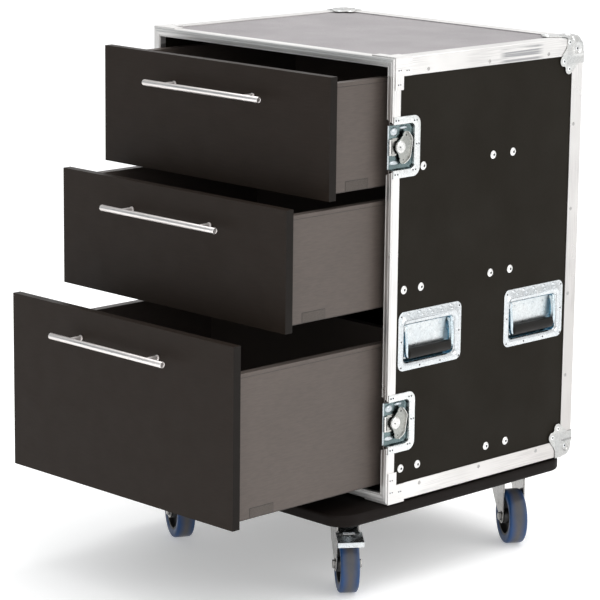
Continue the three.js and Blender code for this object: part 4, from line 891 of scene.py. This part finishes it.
def make_handles():
    for side in SIDES:
        for end, y in HANDLE_PLACES.items():
            place = side_matrix(side, y, HANDLE_LEVEL)
            make_handle_dish(f"{side}_{end}", place)
            make_bail(f"{side}_{end}", place)


# Butterfly latches: an open-fronted dish, the hook plate sliding in it and the wing that throws it
LATCH_AXIS = 20.7
LATCH_LEVELS = {"upper": 619.23, "lower": 140.60}
WING_TURN = 10
WING_LEVEL = -4.5
FRONT_EDGE = -21.7
HOOK_LOW, HOOK_HIGH = -9.0, -7.8

# Pressings of dish and liner from their rims inwards: rear edge, half height, corner radius, level
LATCH_SEEN = [(43.6, 52.1, 16, -1.5), (43.6, 52.1, 16, 0.9), (43.4, 51.9, 15.8, 1.35),
              (42.8, 51.3, 15.2, 1.5), (33.2, 40.6, 11.6, 1.5), (32.2, 39.6, 11, 1.2), (31.4, 38.8, 10, 0.4),
              (31, 38.5, 9, -0.8), (30.6, 38.1, 8.6, -7), (29.8, 37.3, 8, -8.6), (28.2, 35.7, 7, -9.3)]
LATCH_BACK = [(42.3, 50.8, 14.7, -1.5), (42.3, 50.8, 14.7, 0.3), (34, 41.4, 11.5, 0.3),
              (32.5, 40, 10.5, -0.8), (32.1, 39.6, 10.1, -7), (31.3, 38.8, 9.5, -9.4),
              (29.7, 37.2, 8.5, -10.5)]
LINER_SEEN = [(31, 38.5, 9, -1.6), (30.5, 38, 8.5, -7), (29.7, 37.2, 7.9, -8.4), (28.1, 35.6, 7, -9.05)]
LINER_BACK = [(31.6, 39.1, 9.4, -1.9), (31.1, 38.6, 9, -7.1), (30.2, 37.8, 8.4, -8.8),
              (28.6, 36.1, 7.4, -9.5)]


def open_ring(rear, half, corner, w):
    """Upper front corner, round the rear, to the lower front corner of one level of the dish."""
    upper = [(FRONT_EDGE, half)] + arc(rear - corner, half - corner, corner, 90, 0, 8)
    return side_ring(upper + [(u, -v) for u, v in reversed(upper)], w)


def make_open_pressing(name, seen, back, material, replaces, place):
    """A pressing that is open at the front of the case, with the edge of its sheet closed."""
    bm = bmesh.new()
    rows = loft(bm, [open_ring(*ring) for ring in back[::-1] + seen], closed=False)
    bm.faces.new([row[0] for row in rows])
    bm.faces.new([row[-1] for row in rows[::-1]])
    bm.faces.new((rows[-1][0], rows[-1][-1], rows[0][-1], rows[0][0]))
    finish_piece(name, bm, material, replaces=replaces, smooth=50, at=place)


def make_latch_dish(name, place):
    dish = f"latch_dish_{name}"
    make_open_pressing(dish, LATCH_SEEN, LATCH_BACK, "latch_zinc", (dish,), place)
    # Painted shade: a much darker zinc lines the walls deep in the recess.
    make_open_pressing(f"latch_liner_{name}", LINER_SEEN, LINER_BACK, "recess_zinc", (), place)

    bm = bmesh.new()
    slab(bm, "yz", (-25.4, -37.4, -10.4), (-21.8, 37.4, -9.1))
    for y, z, length, width, rise in ((-11, 26, 18, 15, 3.4), (-10, -27, 22, 9, 2.4), (12, 31.5, 20, 7, 3.6)):
        mound(bm, y, z, -9.2, length, width, rise, 32)
    finish_piece(f"latch_tongue_{name}", bm, "tub_floor_zinc", smooth=50, soft=(0.4, 2), at=place)

    # Painted shade: a dark slab in the window of the hook.
    bm = bmesh.new()
    slab(bm, "yz", (-20.2, -11.4, -9.1), (-15.2, 11.4, -8.95))
    finish_piece(f"latch_gap_{name}", bm, "rivet_shadow", smooth=0, at=place)

    spots = ((-14, 46), (31, 43), (37, 2.5), (29.5, -41), (-14, -45.5))
    heads = [place @ moved(1.45, u, v) for u, v in spots]
    finish_rivets(f"latch_rivets_{name}", heads, 2.0, 0.6, 1.35, (-2.9, 2.9))


def make_latch_hook(name, place):
    """Plate with a window between its front bar and its two arms, a rib on each arm and a rolled edge."""
    body = f"latch_hook_{name}"
    bm = bmesh.new()
    bars = ((-22.4, -13.6, -20, 13.6), (-20, -13.6, -15.4, -11), (-20, 11, -15.4, 13.6), (-15.4, -15, 8, 15))
    for u0, v0, u1, v1 in bars:
        slab(bm, "yz", (u0, v0, HOOK_LOW), (u1, v1, HOOK_HIGH))
    for v in (-12.4, 12.4):
        slab(bm, "yz", (-21, v - 1.2, HOOK_LOW + 0.6), (-6, v + 1.2, -6.6))
    finish_piece(body, bm, "hook_zinc", body, replaces=(body,), at=place)

    bm = bmesh.new()
    roll = [(0, -13.6), (1.6, -13.6), (2.1, -13.1), (2.1, 13.1), (1.6, 13.6), (0, 13.6)]
    lathe(bm, roll, 20, moved(-7.0, -21.4, 0))
    finish_piece(f"latch_bar_{name}", bm, "hub_zinc", body, at=place)


def wing_outline(grow=0.0):
    """Wing in (rearward, up): two lobes joined by a broad back, hollow towards the hook."""
    lobe, y, z, reach, flat = 7.2 + grow, 10, 21, 30 + grow, 26 + grow
    hollow = [(0.6, 17.5), (-1.6, 13.5), (-4.5, 10.5), (-8.4, 7.5), (-10.4, 3)]
    hollow += [(u, -v) for u, v in reversed(hollow)]
    points = arc(y, -z, lobe, 165, 295, 12)
    points += [(min(flat, u), v) for u, v in arc(0, 0, reach, -57, 57, 20)]
    points += arc(y, z, lobe, 65, 195, 12)
    return points + [(u - grow, v) for u, v in hollow]


def make_latch_wing(name, place):
    """Wing sheet with a turned rim, a hub with a boss under it, and dark discs painted as the shade in the
    holes at its pivots.
    """
    body = f"latch_wing_{name}"
    turned = place @ spun("X", -WING_TURN)
    hub = moved(WING_LEVEL, 0, 0) @ spun("Y")
    bm = bmesh.new()
    loft(bm, [side_ring(wing_outline(grow), WING_LEVEL + rise)
              for grow, rise in ((0, 0), (0, 0.9), (-0.25, 1.3), (-0.8, 1.5))])
    finish_piece(body, bm, "wing_zinc", body, replaces=(body,), at=turned)

    bm = bmesh.new()
    lip = wing_outline()[12:35]
    inner = [(u - 1.3, v * 0.985) for u, v in lip]
    extrude(bm, "yz", lip + inner[::-1], WING_LEVEL + 0.4, WING_LEVEL + 3.6)
    rise = [(0, 0), (11, 0), (11, 2.4), (10.5, 3.4), (9.4, 4), (6.4, 4.5), (5.6, 4.2), (2, 4.2), (1.5, 3.4),
            (0, 3.3)]
    lathe(bm, rise, 40, hub)
    lathe(bm, [(0, -3.1), (6, -3.1), (6.4, -2.7), (6.4, 0.2), (0, 0.2)], 32, hub)
    finish_piece(f"latch_hub_{name}", bm, "hub_zinc", body, smooth=35, at=turned)

    # Painted shade: dark discs for the holes at the pivots.
    bm = bmesh.new()
    for u, v, radius, level in ((10, 21, 1.6, 1.45), (10.5, -21, 1.2, 1.45), (-3.4, -0.5, 1.2, 4.4)):
        disc(bm, radius, 0, 0.12, 16, moved(WING_LEVEL + level, u, v) @ spun("Y"))
    finish_piece(f"latch_holes_{name}", bm, "rivet_shadow", body, smooth=35, at=turned)


def make_latches():
    for side in SIDES:
        for level, z in LATCH_LEVELS.items():
            place = side_matrix(side, LATCH_AXIS, z)
            for make in (make_latch_dish, make_latch_hook, make_latch_wing):
                make(f"{side}_{level}", place)


# Fastenings of the shell: rivets along the edging and on the front brackets, bolts that carry the runners
EDGE_RIVET_ROWS = {23.5: (81, 235.5, 390.7), 746: (82.5, 237.7, 394)}
EDGE_RIVET_COLUMN = (467.5, (152.7, 305, 461, 615))
BRACKET_RIVETS = ((10.9, 749), (30.4, 748), (10.6, 725), (8, 41), (8.5, 19.4), (29.6, 17.6))
RUNNER_BOLTS = {581.5: (76.5, 255, 307), 372: (34, 76.5, 255, 307), 57.4: (34, 76.5, 255, 307)}
BOLT_HEAD = [(0, 1.0), (2.2, 1.0), (2.5, 2.4), (4.4, 2.2), (6, 1.6), (7.3, 0.4), (7.3, 0), (0, 0)]


def make_fastenings():
    for side in SIDES:
        column, levels = EDGE_RIVET_COLUMN
        spots = [(y, z) for z, row in EDGE_RIVET_ROWS.items() for y in row] + [(column, z) for z in levels]
        edge_places = [side_matrix(side, y, z) @ moved(-0.05, 0, 0) for y, z in spots]
        finish_rivets(f"edge_rivets_{side}", edge_places, 3.4, 0.8, material="edge_rivet")
        bracket_places = [side_matrix(side, y, z) @ moved(1.4, 0, 0) for y, z in BRACKET_RIVETS]
        finish_rivets(f"bracket_rivets_{side}", bracket_places, 1.7, 0.6, 1.0, (-2.6, 2.6))
        bm, socket_shades = bmesh.new(), bmesh.new()
        for z, row in RUNNER_BOLTS.items():
            for y in row:
                head = side_matrix(side, y, z) @ moved(-1.75, 0, 0) @ spun("Y")
                lathe(bm, BOLT_HEAD, 28, head)
                # Painted shade: a dark disc in each bolt head for the shade in its socket.
                disc(socket_shades, 2.1, 0.9, 1.3, 6, head)
        finish_piece(f"runner_bolts_{side}", bm, "bolt_zinc", smooth=35)
        finish_piece(f"runner_bolt_sockets_{side}", socket_shades, "rivet_shadow", smooth=35)


# Front trim: the rolled bead and the inner lip that run round the opening, broken at the latches.
# A section holds distances inwards and heights off the closing face.
TRIM_SECTIONS = {
    "bead": [(0.8, -0.1), (1.0, 0.5), (1.8, 1.1), (3.0, 1.45), (5.4, 1.5), (5.9, 1.25), (6.4, 1.5),
             (8.6, 1.45), (10.2, 1.2), (11.8, 0.9), (13.1, 0.7), (13.2, -0.1)],
    "lip": [(14.7, -0.1), (14.75, 0.5), (15.0, 0.8), (15.5, 0.8), (15.8, 0.5), (15.85, -0.1)],
}
NOTCH_HALF = 40.6
NOTCH_FLARE = 7 / 16


def trim_rail(bm, section, start, end):
    """A length of trim between two ends, each a function from distance inwards to a case point's x and z."""
    rings = []
    for end_point in (start, end):
        places = [end_point(inwards) for inwards, rise in section]
        rings.append([case_point(x, -rise, z) for (x, z), (inwards, rise) in zip(places, section)])
    loft(bm, rings)


def make_trim():
    half = CASE_WIDTH / 2
    for name, section in TRIM_SECTIONS.items():
        bm = bmesh.new()
        for level in (0, CASE_HEIGHT):
            trim_rail(bm, section, lambda d: (d - half, abs(level - d)), lambda d: (half - d, abs(level - d)))
        for way in (-1, 1):
            # Each upright runs between a corner and a latch, or between two, whose gap flares inwards
            ends = [(0, 1)]
            for z in sorted(LATCH_LEVELS.values()):
                ends += [(z - NOTCH_HALF, -NOTCH_FLARE), (z + NOTCH_HALF, NOTCH_FLARE)]
            ends.append((CASE_HEIGHT, -1))
            rails = [lambda d, z=z, flare=flare: (way * (half - d), z + flare * d) for z, flare in ends]
            for lower, upper in zip(rails[::2], rails[1::2]):
                trim_rail(bm, section, lower, upper)
        finish_piece(f"front_trim_{name}", bm, "trim_aluminium", smooth=50)


# Drawers: turned pulls on two posts, caps with painted shade lines, and the covered screws of the runners on
# their sides
DRAWERS = ("top", "middle", "bottom")
PULL_RADIUS = 5.4
PULL_AXIS = 6
POST_PLACE = 98


def make_pull(level, body):
    low, high = span(f"drawer_pull_{level}")
    face = span(f"drawer_front_{level}")[0].y
    centre = Vector((0, low.y + PULL_AXIS, (low.z + high.z) / 2))
    half, r = high.x, PULL_RADIUS
    bm = bmesh.new()
    end = [(0, 0.6 - half), (3.8, 0.6 - half), (4.3, -half), (4.9, -half), (r, 0.7 - half)]
    lathe(bm, mirrored(end), 40, Matrix.Translation(centre) @ spun("Y"))
    finish_piece(f"pull_bar_{level}", bm, "pull_steel", body, (f"drawer_pull_{level}",), smooth=50)

    bm = bmesh.new()
    reach = face - centre.y - 0.2
    for x in (-POST_PLACE, POST_PLACE):
        post = [(0, 0), (3.8, 0), (3.8, reach - 2), (4.8, reach - 1.6), (4.8, reach), (0, reach)]
        lathe(bm, post, 28, moved(x, centre.y, centre.z) @ spun("X", -90))
    finish_piece(f"pull_posts_{level}", bm, "pull_post_steel", body, smooth=50)


def make_drawer_sides(level, body):
    """Strips sunk half a millimetre into both sides of a drawer and standing proud of them."""
    low, high = span(f"drawer_frame_{level}")
    front, rear, foot, top = low.y + 0.5, high.y - 0.5, low.z, high.z
    caps = [(front, rear, top - 6.4, top + 0.2)]
    covers = [(low.y + 34, low.y + 87, foot + 1.4, foot + 17.4)]
    # Painted shade: thin dark strips under the caps, along the foot and round the covers, for the shade at
    # those steps and gaps.
    seams = [(front, rear, top - 7.3, top - 6.6), (front, rear, foot + 0.4, foot + 1.2),
             (low.y + 33, low.y + 88, foot + 1.2, foot + 18.4)]
    looks = (("caps", caps, 0.5, "drawer_coat", 40, (0.3, 2)),
             ("covers", covers, 0.4, "screw_cover", 40, (0.3, 2)),
             ("seams", seams, 0.1, "side_seam", 0, None))
    for kind, strips, proud, material, smooth, soft in looks:
        bm = bmesh.new()
        for way in SIDES.values():
            sunk, stands = sorted((way * (high.x - 0.5), way * (high.x + proud)))
            for y0, y1, z0, z1 in strips:
                slab(bm, "xy", (sunk, y0, z0), (stands, y1, z1))
        finish_piece(f"side_{kind}_{level}", bm, material, body, smooth=smooth, soft=soft)


def make_drawers():
    for level in DRAWERS:
        make_pull(level, f"drawer_{level}")
        make_drawer_sides(level, f"drawer_{level}")


# Floor and light, in metres
FLOOR_REACH = 60


def make_stage():
    corners = [(x * FLOOR_REACH, y * FLOOR_REACH, 0) for x, y in ((-1, -1), (1, -1), (1, 1), (-1, 1))]
    mesh = bpy.data.meshes.new("floor")
    mesh.from_pydata(corners, [], [(0, 1, 2, 3)])
    floor = bpy.data.objects.new("floor", mesh)
    bpy.context.scene.collection.objects.link(floor)
    m = Shader("pale_floor", (0.93, 0.93, 0.93), 0.85)
    m.finish(m.ramp(m.noise(3, 2), (0.3, 0.925), (0.7, 0.935)))
    m.set("Emission Color", (1, 1, 1))
    m.set("Emission Strength", 0.3)
    mesh.materials.append(m.material)


def area_light(name, place, target, size, power):
    data = bpy.data.lights.new(name, "AREA")
    data.shape = "RECTANGLE"
    data.size, data.size_y = size
    data.energy = power
    lamp = bpy.data.objects.new(name, data)
    lamp.location = place
    lamp.rotation_euler = (Vector(target) - Vector(place)).to_track_quat("-Z", "Y").to_euler()
    bpy.context.scene.collection.objects.link(lamp)


def make_light():
    """A white studio whose front left is flagged dark, with soft lamps over and beside the case."""
    world = bpy.data.worlds.new("studio")
    world.use_nodes = True
    nodes, links = world.node_tree.nodes, world.node_tree.links
    direction = nodes.new("ShaderNodeTexCoord")
    facing = nodes.new("ShaderNodeVectorMath")
    facing.operation = "DOT_PRODUCT"
    facing.inputs[1].default_value = Vector((-0.62, -0.78, 0.1)).normalized()
    links.new(direction.outputs["Generated"], facing.inputs[0])
    ramp = nodes.new("ShaderNodeValToRGB")
    stops = ramp.color_ramp.elements
    stops[0].position, stops[0].color = 0.45, (1, 1, 1, 1)
    stops[1].position, stops[1].color = 0.86, (0.11, 0.145, 0.16, 1)
    links.new(facing.outputs["Value"], ramp.inputs["Fac"])
    links.new(ramp.outputs["Color"], nodes["Background"].inputs["Color"])
    bpy.context.scene.world = world
    bpy.context.scene.view_settings.view_transform = "Standard"
    area_light("side_light", (4.2, 1.6, 1.9), (0, 0, 0.5), (2.6, 2.6), 30)
    area_light("top_light", (0.2, 0.8, 3.6), (0, 0, 0.6), (3.2, 3.2), 60)
    area_light("front_light", (1.6, -4.2, 1.4), (0, 0, 0.5), (1.6, 2.2), 26)


make_camera()
make_materials()
dress_nodes()
make_castors()
make_board()
make_ball_corners()
make_handles()
make_latches()
make_fastenings()
make_trim()
make_drawers()
make_stage()
make_light()
